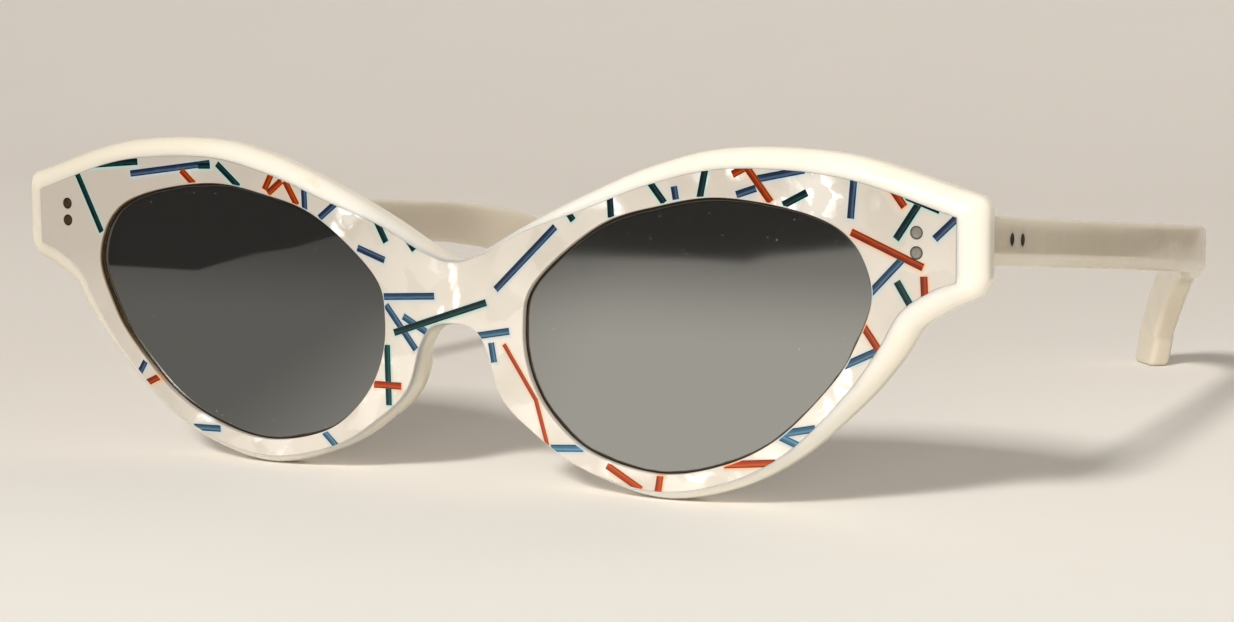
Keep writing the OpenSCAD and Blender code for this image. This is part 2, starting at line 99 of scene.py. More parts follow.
def spline(
    points: np.ndarray,
    steps: int,
    closed: bool = False,
    mirrored_start: bool = False,
    mirrored_end: bool = False,
) -> np.ndarray:
    """Smooth curve through points: a cubic for each span, its end slopes half the chord of its neighbours.

    Args:
        points: rows of x, z and whatever else runs along the curve.
        steps: points worked out for each span.
        closed: whether the last point leads back to the first.
        mirrored_start: whether the curve carries on as its own mirror image before its first point.
        mirrored_end: the same after its last point.

    Returns:
        The points of the curve, one row each.
    """
    p = np.asarray(points, float)
    flip = np.ones(p.shape[1])
    flip[0] = -1
    if closed:
        a, b, c, d = np.roll(p, 1, 0), p, np.roll(p, -1, 0), np.roll(p, -2, 0)
    else:
        before = p[1] * flip if mirrored_start else 2 * p[0] - p[1]
        after = p[-2] * flip if mirrored_end else 2 * p[-1] - p[-2]
        q = np.vstack([before, p, after])
        a, b, c, d = q[:-3], q[1:-2], q[2:-1], q[3:]
    t = (np.arange(steps) / steps)[None, :, None]
    a, b, c, d = (v[:, None, :] for v in (a, b, c, d))
    curve = 0.5 * (2 * b + (c - a) * t + (2 * a - 5 * b + 4 * c - d) * t**2 + (3 * b - a - 3 * c + d) * t**3)
    curve = curve.reshape(-1, p.shape[1])
    return curve if closed else np.vstack([curve, p[-1]])


def outward(steps: np.ndarray) -> np.ndarray:
    """Unit vectors to the outer side of each step along a clockwise outline."""
    return unit(np.stack([-steps[:, 1], steps[:, 0]], axis=1))


def mitre(before: np.ndarray, after: np.ndarray) -> np.ndarray:
    """Offset that keeps both sides of a bend at distance 1: their sum over 1 plus their dot product."""
    return (before + after) / (1 + (before * after).sum(axis=1, keepdims=True))


def grown(line: np.ndarray, distance: float) -> np.ndarray:
    """A closed clockwise outline moved outwards by a distance."""
    after = outward(np.roll(line, -1, 0) - line)
    return line + mitre(np.roll(after, 1, 0), after) * distance


def corner(
    at: np.ndarray,
    run_in: np.ndarray,
    run_out: np.ndarray,
    out_in: float,
    out_out: float,
    radius: float,
    steps: int,
) -> np.ndarray:
    """A corner whose two sides are moved out and joined by an arc.

    Args:
        at: the corner before its sides move.
        run_in: unit direction of the side that leads to it.
        run_out: unit direction of the side that leaves it.
        out_in: how far the first side moves out.
        out_out: how far the second side moves out.
        radius: radius of the arc.
        steps: steps along the arc.

    Returns:
        The arc's points, its centre plus the radius at angles from one side's normal to the other's.
    """
    turn = math.acos(float(run_in @ run_out))
    normal = np.array([-run_in[1], run_in[0]])
    tip = at + normal * out_in + run_in * (out_out - out_in * math.cos(turn)) / math.sin(turn)
    centre = tip - run_in * radius * math.tan(turn / 2) - normal * radius
    angle = turn * np.arange(steps + 1)[:, None] / steps
    return centre + (normal * np.cos(angle) + run_in * np.sin(angle)) * radius


def circle(centre: Sequence[float], radius: float, steps: int = 40) -> np.ndarray:
    """Clockwise circle: centre plus radius times sine and cosine of an even run of angles."""
    angle = 2 * math.pi * np.arange(steps) / steps
    return np.asarray(centre, float) + radius * np.stack([np.sin(angle), np.cos(angle)], axis=1)


def rounded(corners: np.ndarray, radii: np.ndarray, steps: int) -> np.ndarray:
    """Closed outline with rounded corners: each corner becomes the curve a(1-t)^2 + 2bt(1-t) + ct^2.

    Args:
        corners: the corners in order.
        radii: how far from its corner each rounding starts.
        steps: steps along each rounding.

    Returns:
        The outline's points.
    """
    before, after = np.roll(corners, 1, 0) - corners, np.roll(corners, -1, 0) - corners
    a = corners + before * (radii / np.linalg.norm(before, axis=1))[:, None]
    c = corners + after * (radii / np.linalg.norm(after, axis=1))[:, None]
    t = (np.arange(steps + 1) / steps)[None, :, None]
    line = a[:, None] * (1 - t) ** 2 + 2 * corners[:, None] * t * (1 - t) + c[:, None] * t**2
    return line.reshape(-1, 2)


def at_depth(line: np.ndarray, depth: float | np.ndarray) -> np.ndarray:
    """Lifts an outline in x and z to points at a depth behind the panel's face."""
    return np.stack([line[:, 0], np.broadcast_to(depth, len(line)), line[:, 1]], axis=1)


def both_sides(line: np.ndarray) -> list[np.ndarray]:
    """An outline and its mirror image, both clockwise."""
    return [line, (line * [-1, 1])[::-1]]


@dataclass
class Surface:
    """A stretch of surface: its points, blocks of like faces, and two pattern values for each point."""

    points: np.ndarray
    faces: list[np.ndarray]
    pattern: np.ndarray

    def on(self, side: Side) -> Surface:
        """The surface on a side of the glasses: as it is on the left, mirrored on the right."""
        return Surface(self.points * [side.value, 1, 1], self.faces, self.pattern)


def skin(rings: Iterable[np.ndarray], across: np.ndarray | None = None) -> Surface:
    """Surface through closed rings with the same number of points: a grid of ring by place round the ring.

    Args:
        rings: the rings in order.
        across: a pattern value for each ring, or None for its share of the way.

    Returns:
        The surface, with place round the ring and the ring's value as its pattern.
    """
    grid = np.stack(list(rings))
    rows, around = grid.shape[:2]
    index = np.arange(rows * around).reshape(rows, around)
    here, there = index[:-1], index[1:]
    faces = np.stack([here, there, np.roll(there, -1, 1), np.roll(here, -1, 1)], axis=-1).reshape(-1, 4)
    value = np.linspace(0, 1, rows) if across is None else np.asarray(across, float)
    pattern = np.stack(np.broadcast_arrays(np.arange(around)[None, :] / around, value[:, None]), axis=-1)
    return Surface(grid.reshape(-1, 3), [faces], pattern.reshape(-1, 2))


def filled(
    outer: np.ndarray,
    holes: Sequence[np.ndarray],
    within: Sequence[np.ndarray] = (),
    loose: Sequence[np.ndarray] = (),
) -> tuple[np.ndarray, np.ndarray]:
    """Triangles that fill an outline, leave its holes open and stay within other outlines.

    Args:
        outer: the clockwise outline.
        holes: outlines left open.
        within: outlines that a triangle has to lie in as well.
        loose: more points to pass through, clear of every outline.

    Returns:
        The points in the plane, and the triangles.
    """
    loops = [outer, *within, *holes]
    ends = np.cumsum([len(loop) for loop in loops])
    shapes = [list(range(end - 1, end - len(loop) - 1, -1)) for end, loop in zip(ends, loops)]
    corners = [Vector(p) for p in np.vstack([*loops, *loose])]
    flat, _, faces, _, _, homes = delaunay_2d_cdt(corners, [], shapes, 1, 1e-7)
    wanted = set(range(1 + len(within)))
    kept = [face for face, home in zip(faces, homes) if set(home) == wanted]
    return np.array([tuple(p) for p in flat]), np.array(kept, int).reshape(-1, 3)


def clear_of(points: np.ndarray, loops: Sequence[np.ndarray], gap: float) -> np.ndarray:
    """Keeps the points farther than a gap from every side of some outlines.

    A point's distance to a side is the length of what is left of its offset from the side's start once the
    side, times the offset's share of it held between 0 and 1, is taken away.

    Args:
        points: points in x and z.
        loops: the closed outlines.
        gap: the least distance.

    Returns:
        The points that are kept.
    """
    for line in loops:
        run = np.roll(line, -1, 0) - line
        offset = points[:, None, :] - line[None]
        share = np.clip((offset * run).sum(axis=2) / (run * run).sum(axis=1), 0, 1)
        away = np.linalg.norm(offset - share[..., None] * run, axis=2)
        points = points[away.min(axis=1) > gap]
    return points


def sheet_at(
    outer: np.ndarray, holes: Sequence[np.ndarray], depth: float, loose: Sequence[np.ndarray] = ()
) -> Surface:
    """Flat surface at a depth that fills an outline round its holes and passes through loose points."""
    flat, triangles = filled(outer, holes, loose=loose)
    return Surface(at_depth(flat, depth), [triangles], np.ones((len(flat), 2)))


def slab(flat: np.ndarray, triangles: np.ndarray, top: float, bottom: float, pattern: np.ndarray) -> Surface:
    """Closed plate over flat triangles: the same triangles at two depths, and a wall along edges used once.

    Args:
        flat: points in x and z.
        triangles: indices of the points.
        top: depth of the upper side.
        bottom: depth of the lower side.
        pattern: two pattern values for each point.

    Returns:
        The plate's surface.
    """
    count = len(flat)
    edges = np.vstack([triangles[:, [0, 1]], triangles[:, [1, 2]], triangles[:, [2, 0]]])
    order = np.sort(edges, axis=1)
    _, first, uses = np.unique(order, axis=0, return_index=True, return_counts=True)
    rim = edges[first[uses == 1]]
    walls = np.stack([rim[:, 0], rim[:, 1], rim[:, 1] + count, rim[:, 0] + count], axis=1)
    points = np.vstack([at_depth(flat, top), at_depth(flat, bottom)])
    return Surface(points, [triangles, triangles + count, walls], np.vstack([pattern, pattern]))


def turned(profile: np.ndarray, centre: Sequence[float], axis: Sequence[float], steps: int = 40) -> Surface:
    """Surface of revolution: each row of the profile, a radius and a height, is swept round a level axis.

    Args:
        profile: rows of radius and height along the axis.
        centre: the point that heights are measured from.
        axis: unit direction of the axis.
        steps: steps round the axis.

    Returns:
        The surface, with its pattern's second value the radius as a share of the largest.
    """
    up = np.asarray(axis, float)
    right = unit(np.cross(up, [0.0, 0.0, 1.0]))
    front = np.cross(up, right)
    angle = (2 * math.pi * np.arange(steps) / steps)[:, None]
    spoke = right * np.cos(angle) + front * np.sin(angle)
    rings = [np.asarray(centre) + spoke * radius + up * height for radius, height in profile]
    return skin(rings, profile[:, 0] / profile[:, 0].max())


def wall(line: np.ndarray, top: float, bottom: float) -> Surface:
    """Upright wall along an outline, from one depth to another."""
    return skin([at_depth(line, top), at_depth(line, bottom)])


# Placing and building


def leant(points: Sequence[Sequence[float]], angle: float) -> np.ndarray:
    """Points turned about x: y becomes y cos + z sin, and z becomes z cos - y sin.

    Args:
        points: the points, with x, y and z along the last axis.
        angle: the turn in radians.

    Returns:
        The turned points.
    """
    x, y, z = np.moveaxis(np.asarray(points, float), -1, 0)
    cos, sin = math.cos(angle), math.sin(angle)
    return np.stack([x, y * cos + z * sin, z * cos - y * sin], axis=-1)


@dataclass(frozen=True)
class Stance:
    """How the front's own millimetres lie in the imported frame: a lean about x in radians, then a shift."""

    lean: float
    shift: np.ndarray

    @classmethod
    def on_pin(cls, joint: dict, pin: np.ndarray) -> Stance:
        """Works the stance out from a hinge joint: the lean of its axis, and where its pin has to lie.

        Args:
            joint: the joint, as the frame gives it.
            pin: the joint's place in the front's millimetres.

        Returns:
            The stance that sets the pin on the joint.
        """
        lean = math.atan2(joint["axis"][1], joint["axis"][2])
        stance = cls(lean, np.zeros(3))
        return cls(lean, np.asarray(joint["pos_m"]) / MM - stance.placed(pin) / MM)

    def placed(self, points: np.ndarray) -> np.ndarray:
        """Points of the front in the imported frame, in metres."""
        return (leant(points, self.lean) + self.shift) * MM

    def local(self, points: np.ndarray) -> np.ndarray:
        """The way back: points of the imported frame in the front's millimetres."""
        return leant(points / MM - self.shift, -self.lean)


@dataclass
class Workshop:
    """Turns surfaces into finished pieces that ride on their bodies; weld is in metres."""

    stance: Stance
    weld: float = 2e-7

    def mesh(self, name: str, surfaces: Sequence[Surface], sharp: float = 32.0) -> bpy.types.Object:
        """Makes one object of surfaces that close on each other.

        Args:
            name: the object's name.
            surfaces: its surfaces, in the front's millimetres.
            sharp: angle in degrees past which an edge stays sharp.

        Returns:
            The object, at the origin, with its place in its mesh.
        """
        starts = np.cumsum([0] + [len(s.points) for s in surfaces])
        points = self.stance.placed(np.vstack([s.points for s in surfaces]))
        blocks = [block + start for start, s in zip(starts, surfaces) for block in s.faces]
        mesh = bpy.data.meshes.new(name)
        mesh.from_pydata(points.tolist(), [], [face for block in blocks for face in block.tolist()])
        pattern = np.vstack([s.pattern for s in surfaces])
        corners = np.empty(len(mesh.loops), np.int32)
        mesh.loops.foreach_get("vertex_index", corners)
        mesh.uv_layers.new(name="pattern").data.foreach_set("uv", pattern[corners].astype(np.float32).ravel())
        work = bmesh.new()
        work.from_mesh(mesh)
        bmesh.ops.remove_doubles(work, verts=work.verts, dist=self.weld)
        bmesh.ops.recalc_face_normals(work, faces=work.faces)
        work.to_mesh(mesh)
        work.free()
        mesh.shade_smooth()
        mesh.set_sharp_from_angle(angle=math.radians(sharp))
        piece = bpy.data.objects.new(name, mesh)
        bpy.context.scene.collection.objects.link(piece)
        return piece

    def cut(self, piece: bpy.types.Object, tools: Sequence[bpy.types.Object], sharp: float) -> None:
        """Cuts tools out of a piece, keeps the result in its mesh and removes the tools.

        Args:
            piece: the object that is cut.
            tools: closed objects.
            sharp: angle in degrees past which an edge stays sharp.
        """
        for tool in tools:
            cut = piece.modifiers.new("cut", "BOOLEAN")
            cut.object = tool
            cut.operation = "DIFFERENCE"
            cut.solver = "EXACT"
        whole = piece.evaluated_get(bpy.context.evaluated_depsgraph_get())
        mesh = bpy.data.meshes.new_from_object(whole)
        piece.modifiers.clear()
        piece.data = mesh
        mesh.shade_smooth()
        mesh.set_sharp_from_angle(angle=math.radians(sharp))
        for tool in tools:
            bpy.data.objects.remove(tool)

    def finish(self, piece: bpy.types.Object, look: Finish, body: str, node: str) -> None:
        """Dresses a piece, sets it on its body and lets it stand for a CAD node.

        Args:
            piece: the object.
            look: its finish.
            body: the body that it rides on.
            node: the CAD node that it replaces.
        """
        piece.data.materials.clear()
        piece.data.materials.append(look.material())
        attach(piece, body)
        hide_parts(node)
        log.info("%s: %d faces on %s", piece.name, len(piece.data.polygons), body)

    def dress(self, node: str, look: Finish) -> None:
        """Gives a CAD node that keeps its shape a finish.

        Args:
            node: the node's name.
            look: the finish.
        """
        for slot in frame["nodes"][node].material_slots:
            slot.material = look.material()
        log.info("%s keeps its CAD shape", node)


# Shader trees


class Tree:
    """The node tree of one material or world, with one method that adds any node."""

    def __init__(self, owner: bpy.types.Material | bpy.types.World) -> None:
        """Empties the owner's tree.

        Args:
            owner: the material or the world.
        """
        owner.use_nodes = True
        self.owner = owner
        self.tree = owner.node_tree
        self.tree.nodes.clear()

    def node(self, kind: str, settings: dict | None = None, output: int | str = 0, **sockets: object) -> Link:
        """Adds a node.

        Args:
            kind: its type, without the leading words.
            settings: attributes, which are set first.
            output: the output handed back.
            **sockets: values or links for its inputs, by name with _ for a space, or by number as i0, i1.

        Returns:
            The chosen output.
        """
        node = self.tree.nodes.new("ShaderNode" + kind)
        for key, value in (settings or {}).items():
            setattr(node, key, value)
        for key, value in sockets.items():
            numbered = key[0] == "i" and key[1:].isdigit()
            socket = node.inputs[int(key[1:]) if numbered else key.replace("_", " ")]
            if isinstance(value, Link):
                self.tree.links.new(value.socket, socket)
            elif isinstance(value, tuple) and socket.type == "RGBA":
                socket.default_value = (*value, 1.0)
            else:
                socket.default_value = value
        return Link(self, node.outputs[output] if len(node.outputs) else None)

    def worked(self, kind: str, operation: str, values: Sequence[object], output: int | str = 0) -> Link:
        """A Math or VectorMath node that does one operation on values in turn."""
        return self.node(kind, {"operation": operation}, output, **{f"i{k}": v for k, v in enumerate(values)})

    def vector(self, operation: str, *values: object, output: int | str = 0) -> Link:
        """An operation on vectors."""
        return self.worked("VectorMath", operation, values, output)

    def axis(self, number: int, vector: Link) -> Link:
        """One number of a vector: 0 for its x, 1 for its y and 2 for its z."""
        return self.node("SeparateXYZ", output=number, i0=vector)

    def pattern(self, number: int) -> Link:
        """The first (0) or the second (1) of the piece's pattern values."""
        return self.axis(number, self.node("TexCoord", output="UV"))

    def place(self) -> Link:
        """Object coordinates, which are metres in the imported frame."""
        return self.node("TexCoord", output="Object")

    def noise(self, scale: float, detail: float = 2.0, place: Link | None = None) -> Link:
        """Noise with so many blots to the metre."""
        return self.node("TexNoise", Vector=place or self.place(), Scale=scale, Detail=detail)

    def band(self, value: Link, low: float, high: float) -> Link:
        """A smooth step from 0 at low to 1 at high."""
        return self.node("MapRange", {"interpolation_type": "SMOOTHSTEP"}, i0=value, i1=low, i2=high)

    def mix(self, share: Link | float, first: object, second: object) -> Link:
        """A colour between two, by a share."""
        return self.node("Mix", {"data_type": "RGBA"}, output=2, i0=share, i6=first, i7=second)

    def bump(self, height: Link, strength: float, distance: float) -> Link:
        """A normal raised by a height, over a distance in metres."""
        return self.node("Bump", Strength=strength, Distance=distance, Height=height)

    def surface(self, **sockets: object) -> bpy.types.Material:
        """Ends the tree in one Principled shader.

        Args:
            **sockets: values or links for its inputs, named as in node.

        Returns:
            The material.
        """
        shader = self.node("BsdfPrincipled", **sockets)
        self.node("OutputMaterial", Surface=shader)
        return self.owner


class Link:
    """An output of a tree, on which arithmetic adds Math nodes."""

    def __init__(self, tree: Tree, socket: bpy.types.NodeSocket) -> None:
        """Wraps an output of a tree."""
        self.tree, self.socket = tree, socket

    def math(self, operation: str, *others: Link | float, turned: bool = False) -> Link:
        """Joins this output and others by a Math node; turned puts this output second."""
        return self.tree.worked("Math", operation, (*others, self) if turned else (self, *others))

    def __add__(self, other: Link | float) -> Link:
        """This plus other."""
        return self.math("ADD", other)

    __radd__ = __add__

    def __mul__(self, other: Link | float) -> Link:
        """This times other."""
        return self.math("MULTIPLY", other)

    __rmul__ = __mul__

    def __sub__(self, other: Link | float) -> Link:
        """This minus other."""
        return self.math("SUBTRACT", other)

    def __rsub__(self, other: Link | float) -> Link:
        """Other minus this."""
        return self.math("SUBTRACT", other, turned=True)

    def __abs__(self) -> Link:
        """This without its sign."""
        return self.math("ABSOLUTE")


# Finishes


def toned(colour: Colour, *shares: float) -> Colour:
    """A colour whose red, green and blue are each taken times a share; a single share serves all three."""
    return tuple(part * share for part, share in zip(colour, shares * (3 // len(shares))))


@dataclass(frozen=True)
class Finish:
    """A finish: a name, the record's slot that it belongs to (not used), and a material made once."""

    name: str
    slot: str

    def material(self) -> bpy.types.Material:
        """The finish's material, made when it is first asked for."""
        return bpy.data.materials.get(self.name) or self.build(Tree(bpy.data.materials.new(self.name)))

    def build(self, tree: Tree) -> bpy.types.Material:
        """Fills the tree; each finish has its own way.

        Args:
            tree: the empty tree of the material.

        Returns:
            The material.
        """
        raise NotImplementedError


@dataclass(frozen=True)
class PolishedAcetate(Finish):
    """Hand-polished acetate that lets some light in, with clouds of a warmer tone and, where asked for,
    painted shade at one end.
    """

    pale: Colour
    warm: Colour
    clouds: float = 55.0
    depth: float = 0.003
    glow: float = 0.75
    # Share of painted shade at the wearer's right end.
    dull: float = 0.0

    def build(self, tree: Tree) -> bpy.types.Material:
        """Clouds and rare stains in the colour, and a faint unevenness from the polishing wheel.

        Args:
            tree: the empty tree of the material.

        Returns:
            The material.
        """
        place = tree.place()
        clouds = tree.band(tree.noise(self.clouds, 3.0, place), 0.35, 0.75)
        stains = tree.band(tree.noise(self.clouds * 3.1, 4.0, place), 0.68, 0.8)
        colour = tree.mix(clouds, self.pale, self.warm)
        colour = tree.mix(stains * 0.5, colour, toned(self.warm, 0.9, 0.8, 0.62))
        # Painted shade: the colour darkens towards the wearer's right end.
        wear_and_shade = tree.band(tree.axis(0, place), -0.005, -0.07) * self.dull
        wheel = tree.noise(260.0, 2.0, place)
        fine = tree.noise(2400.0, 1.0, place)
        return tree.surface(
            Base_Color=tree.mix(wear_and_shade, colour, toned(self.warm, 0.76, 0.76, 0.77)),
            Roughness=tree.band(fine, 0.3, 0.8) * 0.1 + 0.16,
            IOR=PLASTIC_IOR,
            Subsurface_Weight=self.glow,
            Subsurface_Radius=(1.0, 0.92, 0.8),
            Subsurface_Scale=self.depth,
            Coat_Weight=0.25,
            Coat_Roughness=0.05,
            Normal=tree.bump(wheel, 0.12, 0.0006),
        )


@dataclass(frozen=True)
class PearlLaminate(Finish):
    """Mother-of-pearl acetate: milky, with painted shade, silver folds that are partly painted sheen, and a
    painted glow by each stick.
    """

    milk: Colour
    # Bright silver of the folds, partly the laminate's own pattern and partly painted sheen.
    silver: Colour
    blush: Colour
    shade: Colour
    # Colour of painted shadow deep in the wall of the right opening.
    well: Colour
    cut_edge: Colour
    # Colours of the painted glow that light passed through each colour of stick gives the panel.
    tints: tuple[Colour, Colour, Colour]
    folds: tuple[tuple[float, float, float, float], ...]
    fold_y: float = -0.067

    def fold_mask(self, tree: Tree, bent: Link) -> Link:
        """Where the folds lie: 1 within each stretched blot, by its x, z, half width and half height.

        Args:
            tree: the material's tree.
            bent: places, shifted a little.

        Returns:
            The greatest of the blots.
        """
        mask = None
        for x, z, wide, high in self.folds:
            shifted = tree.vector("SUBTRACT", bent, (x, self.fold_y, z))
            scaled = tree.vector("MULTIPLY", shifted, (1 / wide, 0.0, 1 / high))
            blot = 1.0 - tree.band(tree.vector("LENGTH", scaled, output="Value"), 0.3, 1.15)
            mask = blot if mask is None else mask.math("MAXIMUM", blot)
        return mask

    def bend(self, tree: Tree, place: Link, scale: float, reach: float) -> Link:
        """Places shifted along the panel's face: noise less 0.5, times the reach, is added to x and z.

        Args:
            tree: the material's tree.
            place: the places.
            scale: how many blots of noise there are to the metre.
            reach: twice the farthest shift, in metres.

        Returns:
            The shifted places.
        """
        noise = tree.node("TexNoise", output="Color", Vector=place, Scale=scale, Detail=3.0)
        drift = tree.vector("SUBTRACT", noise, (0.5, 0.5, 0.5))
        return tree.vector("MULTIPLY_ADD", drift, (reach, 0.0, reach), place)

    def facets(self, tree: Tree, bent: Link, scale: float) -> Link:
        """A number from 0 to 1 for each crumpled facet.

        Args:
            tree: the material's tree.
            bent: places, shifted a little.
            scale: how many facets there are to the metre.

        Returns:
            The number at each place.
        """
        sockets = {"Vector": bent, "Scale": scale, "Smoothness": 0.25}
        cells = tree.node("TexVoronoi", {"feature": "SMOOTH_F1"}, "Color", **sockets)
        return tree.node("SeparateColor", i0=cells)

    def ground(self, tree: Tree, place: Link, broad: Link) -> Link:
        """The milk's colour: clouded, with painted shade to the right and at the brow, and a painted glow of
        each stick's colour beside the sticks.

        The attribute holds how near each colour's sticks are, for a painted glow as if light passed through
        them.
        The pattern's second value is 1 on the face and falls to 0 and below down the wall of an opening,
        where the right end shows a brown cut edge and, deeper down, painted shadow.

        Args:
            tree: the material's tree.
            place: places on the panel.
            broad: a number for each broad facet.

        Returns:
            The colour.
        """
        x, z = tree.axis(0, place), tree.axis(2, place)
        hue = tree.band(tree.noise(75.0, 2.0, place), 0.35, 0.7) * 0.6 + tree.band(broad, 0.25, 0.75) * 0.4
        # Painted shade: the milk darkens towards the wearer's right and towards the brow.
        dim = (tree.band(x, 0.01, -0.06) * 0.5 + tree.band(z, 0.004, 0.042) * 0.65).math("MINIMUM", 0.95)
        milk = tree.mix(dim, tree.mix(hue, self.milk, self.blush), self.shade)
        # Painted light: a glow of each stick's colour, as if light passed through the sticks, shifted a
        # little down and away from the lamp.
        bleed = tree.node("Attribute", {"attribute_name": "bleed"})
        for channel, tint in enumerate(self.tints):
            milk = tree.mix(tree.node("SeparateColor", output=channel, i0=bleed) * 0.7, milk, tint)
        face, end = tree.pattern(1), tree.band(x, -0.045, -0.054)
        milk = tree.mix(end * tree.band(face, 1.0, 0.4) * 0.85, milk, self.cut_edge)
        # Painted shadow: the wall of the right opening darkens deeper down.
        return tree.mix(end * tree.band(face, 0.0, -0.35) * 0.95, milk, self.well)

    def build(self, tree: Tree) -> bpy.types.Material:
        """Crumpled facets, painted bright as the laminate's silver and its sheen, lie inside the folds and
        are faint outside them, over the milky ground.

        Args:
            tree: the empty tree of the material.

        Returns:
            The material.
        """
        place = tree.place()
        bent = self.bend(tree, place, 210.0, 0.005)
        mask = self.fold_mask(tree, bent)
        fine = self.facets(tree, self.bend(tree, place, 520.0, 0.0022), 620.0)
        broad = self.facets(tree, bent, 210.0)
        crest = tree.band(fine, 0.25, 0.7)
        wisps = tree.band(tree.noise(120.0, 3.0, bent), 0.6, 0.72)
        # The folds' bright silver is partly the laminate's own pattern and partly painted sheen.
        folds = (mask * (crest * 0.85 + 0.3) + wisps * crest * 0.5).math("MINIMUM", 1.0)
        return tree.surface(
            Base_Color=tree.mix(folds, self.ground(tree, place, broad), self.silver),
            Roughness=0.28 - folds * 0.12,
            IOR=PLASTIC_IOR,
            Subsurface_Weight=0.3,
            Subsurface_Radius=(1.0, 0.96, 0.9),
            Subsurface_Scale=0.0006,
            Coat_Weight=0.4,
            Coat_Roughness=0.05,
            Normal=tree.bump(mask * fine + broad * 0.12, 0.3, 0.0004),
        )


@dataclass(frozen=True)
class InlaidStick(Finish):
    """Clear coloured acetate: dark cut edges, a lit stripe along one side, and its tint at the very edge."""

    heart: Colour
    pale: Colour
    lit: Colour
    lit_low: Colour
    fringe: Colour

    def build(self, tree: Tree) -> bpy.types.Material:
        """The pattern's first value is the stick's tone, which carries painted shade, and its second the
        place across it, from 0 to 1.

        Args:
            tree: the empty tree of the material.

        Returns:
            The material.
        """
        tone, straight = tree.pattern(0), tree.pattern(1)
        across = straight + (tree.noise(420.0) - 0.5) * 0.22
        stripe = tree.band(across, 0.1, 0.24) * (1.0 - tree.band(across, 0.38, 0.6))
        grain = tree.noise(900.0, 3.0)
        body = tree.mix(tone, self.heart, self.pale)
        lit = tree.mix(tone, self.lit, self.lit_low)
        colour = tree.mix(stripe * 0.75 + tree.band(grain, 0.5, 0.8) * 0.2, body, lit)
        edges = tree.band(abs(across * 2.0 - 1.0), 0.55, 0.82) * 0.85
        rim = tree.band(abs(straight * 2.0 - 1.0), 0.9, 0.99) * 0.6
        return tree.surface(
            Base_Color=tree.mix(rim, tree.mix(edges, colour, toned(self.heart, 0.35)), self.fringe),
            Roughness=0.2,
            IOR=PLASTIC_IOR,
            Coat_Weight=0.15,
            Coat_Roughness=0.06,
            Normal=tree.bump(grain, 0.15, 0.0002),
        )


@dataclass(frozen=True)
class SmokedLens(Finish):
    """Dark lens with a pale silvered face, dust on it, and a dark line where it meets its groove."""

    silvering: Colour
    line: Colour
    rim: float
    dust: Colour = (0.4, 0.39, 0.37)

    def build(self, tree: Tree) -> bpy.types.Material:
        """The pattern's second value is the distance to the edge in millimetres.

        Args:
            tree: the empty tree of the material.

        Returns:
            The material.
        """
        place = tree.place()
        ragged = tree.pattern(1) + (tree.noise(260.0, 5.0, place) - 0.5) * 0.5
        inner = tree.band(ragged, self.rim * 0.5, self.rim)
        dust = tree.band(tree.noise(4200.0, 0.0, place), 0.87, 0.92)
        haze = tree.band(tree.noise(35.0, 3.0, place), 0.4, 0.9) * 0.02
        smear = tree.band(tree.axis(0, place), 0.0, 0.02) * 0.028
        return tree.surface(
            Base_Color=tree.mix(dust, tree.mix(inner, self.line, self.silvering), self.dust),
            Metallic=inner * (1.0 - dust) * 0.97,
            Roughness=haze + smear + dust * 0.4 + 0.02,
            IOR=PLASTIC_IOR,
            Alpha=0.96,
            Normal=tree.bump(tree.noise(18.0, 1.0, place), 0.04, 0.002),
        )


@dataclass(frozen=True)
class WornMetal(Finish):
    """Small metal fitting: drawn lines, blots of tarnish and, where asked for, a dark rim on each head."""

    bright: Colour
    tarnish: Colour
    rough: float
    ring: bool = False
    grain: tuple[float, float, float] = (9000.0, 9000.0, 700.0)

    def build(self, tree: Tree) -> bpy.types.Material:
        """Drawn lines run along z; the pattern's second value is the share of the head's radius.

        Args:
            tree: the empty tree of the material.

        Returns:
            The material.
        """
        drawn = tree.noise(1.0, 2.0, tree.node("Mapping", Vector=tree.place(), Scale=self.grain))
        wear_and_shade = tree.band(tree.noise(1500.0, 3.0), 0.4, 0.72)
        colour = tree.mix(wear_and_shade, self.bright, self.tarnish)
        if self.ring:
            colour = tree.mix(tree.band(tree.pattern(1), 0.7, 0.98) * 0.85, colour, toned(self.tarnish, 0.25))
        return tree.surface(
            Base_Color=colour,
            Metallic=1.0 - wear_and_shade * 0.35,
            Roughness=drawn * 0.18 + self.rough,
            Normal=tree.bump(drawn, 0.2, 0.00005),
        )


@dataclass(frozen=True)
class FloorPaint(Finish):
    """Matt paint of the floor, with painted light: paler before the glasses and greyer behind them."""

    near: Colour
    far: Colour
    span: tuple[float, float] = (-0.2, 0.18)
    slant: float = 1.3

    def build(self, tree: Tree) -> bpy.types.Material:
        """Near's colour turns into far's as y less slant times x crosses the span, a painted falloff of the
        lamp's light, under faint mottling.

        Args:
            tree: the empty tree of the material.

        Returns:
            The material.
        """
        place = tree.place()
        x, y = tree.axis(0, place), tree.axis(1, place)
        # Painted light: the floor is paler near the front and greyer behind, as the lamp's light falls off.
        colour = tree.mix(tree.band(y - x * self.slant, *self.span), self.near, self.far)
        blots = tree.band(tree.noise(9.0, 4.0, place), 0.3, 0.7)
        mottled = tree.mix(blots * 0.15, colour, toned(self.far, 0.96))
        return tree.surface(Base_Color=mottled, Roughness=0.9, Specular_IOR_Level=0.0)


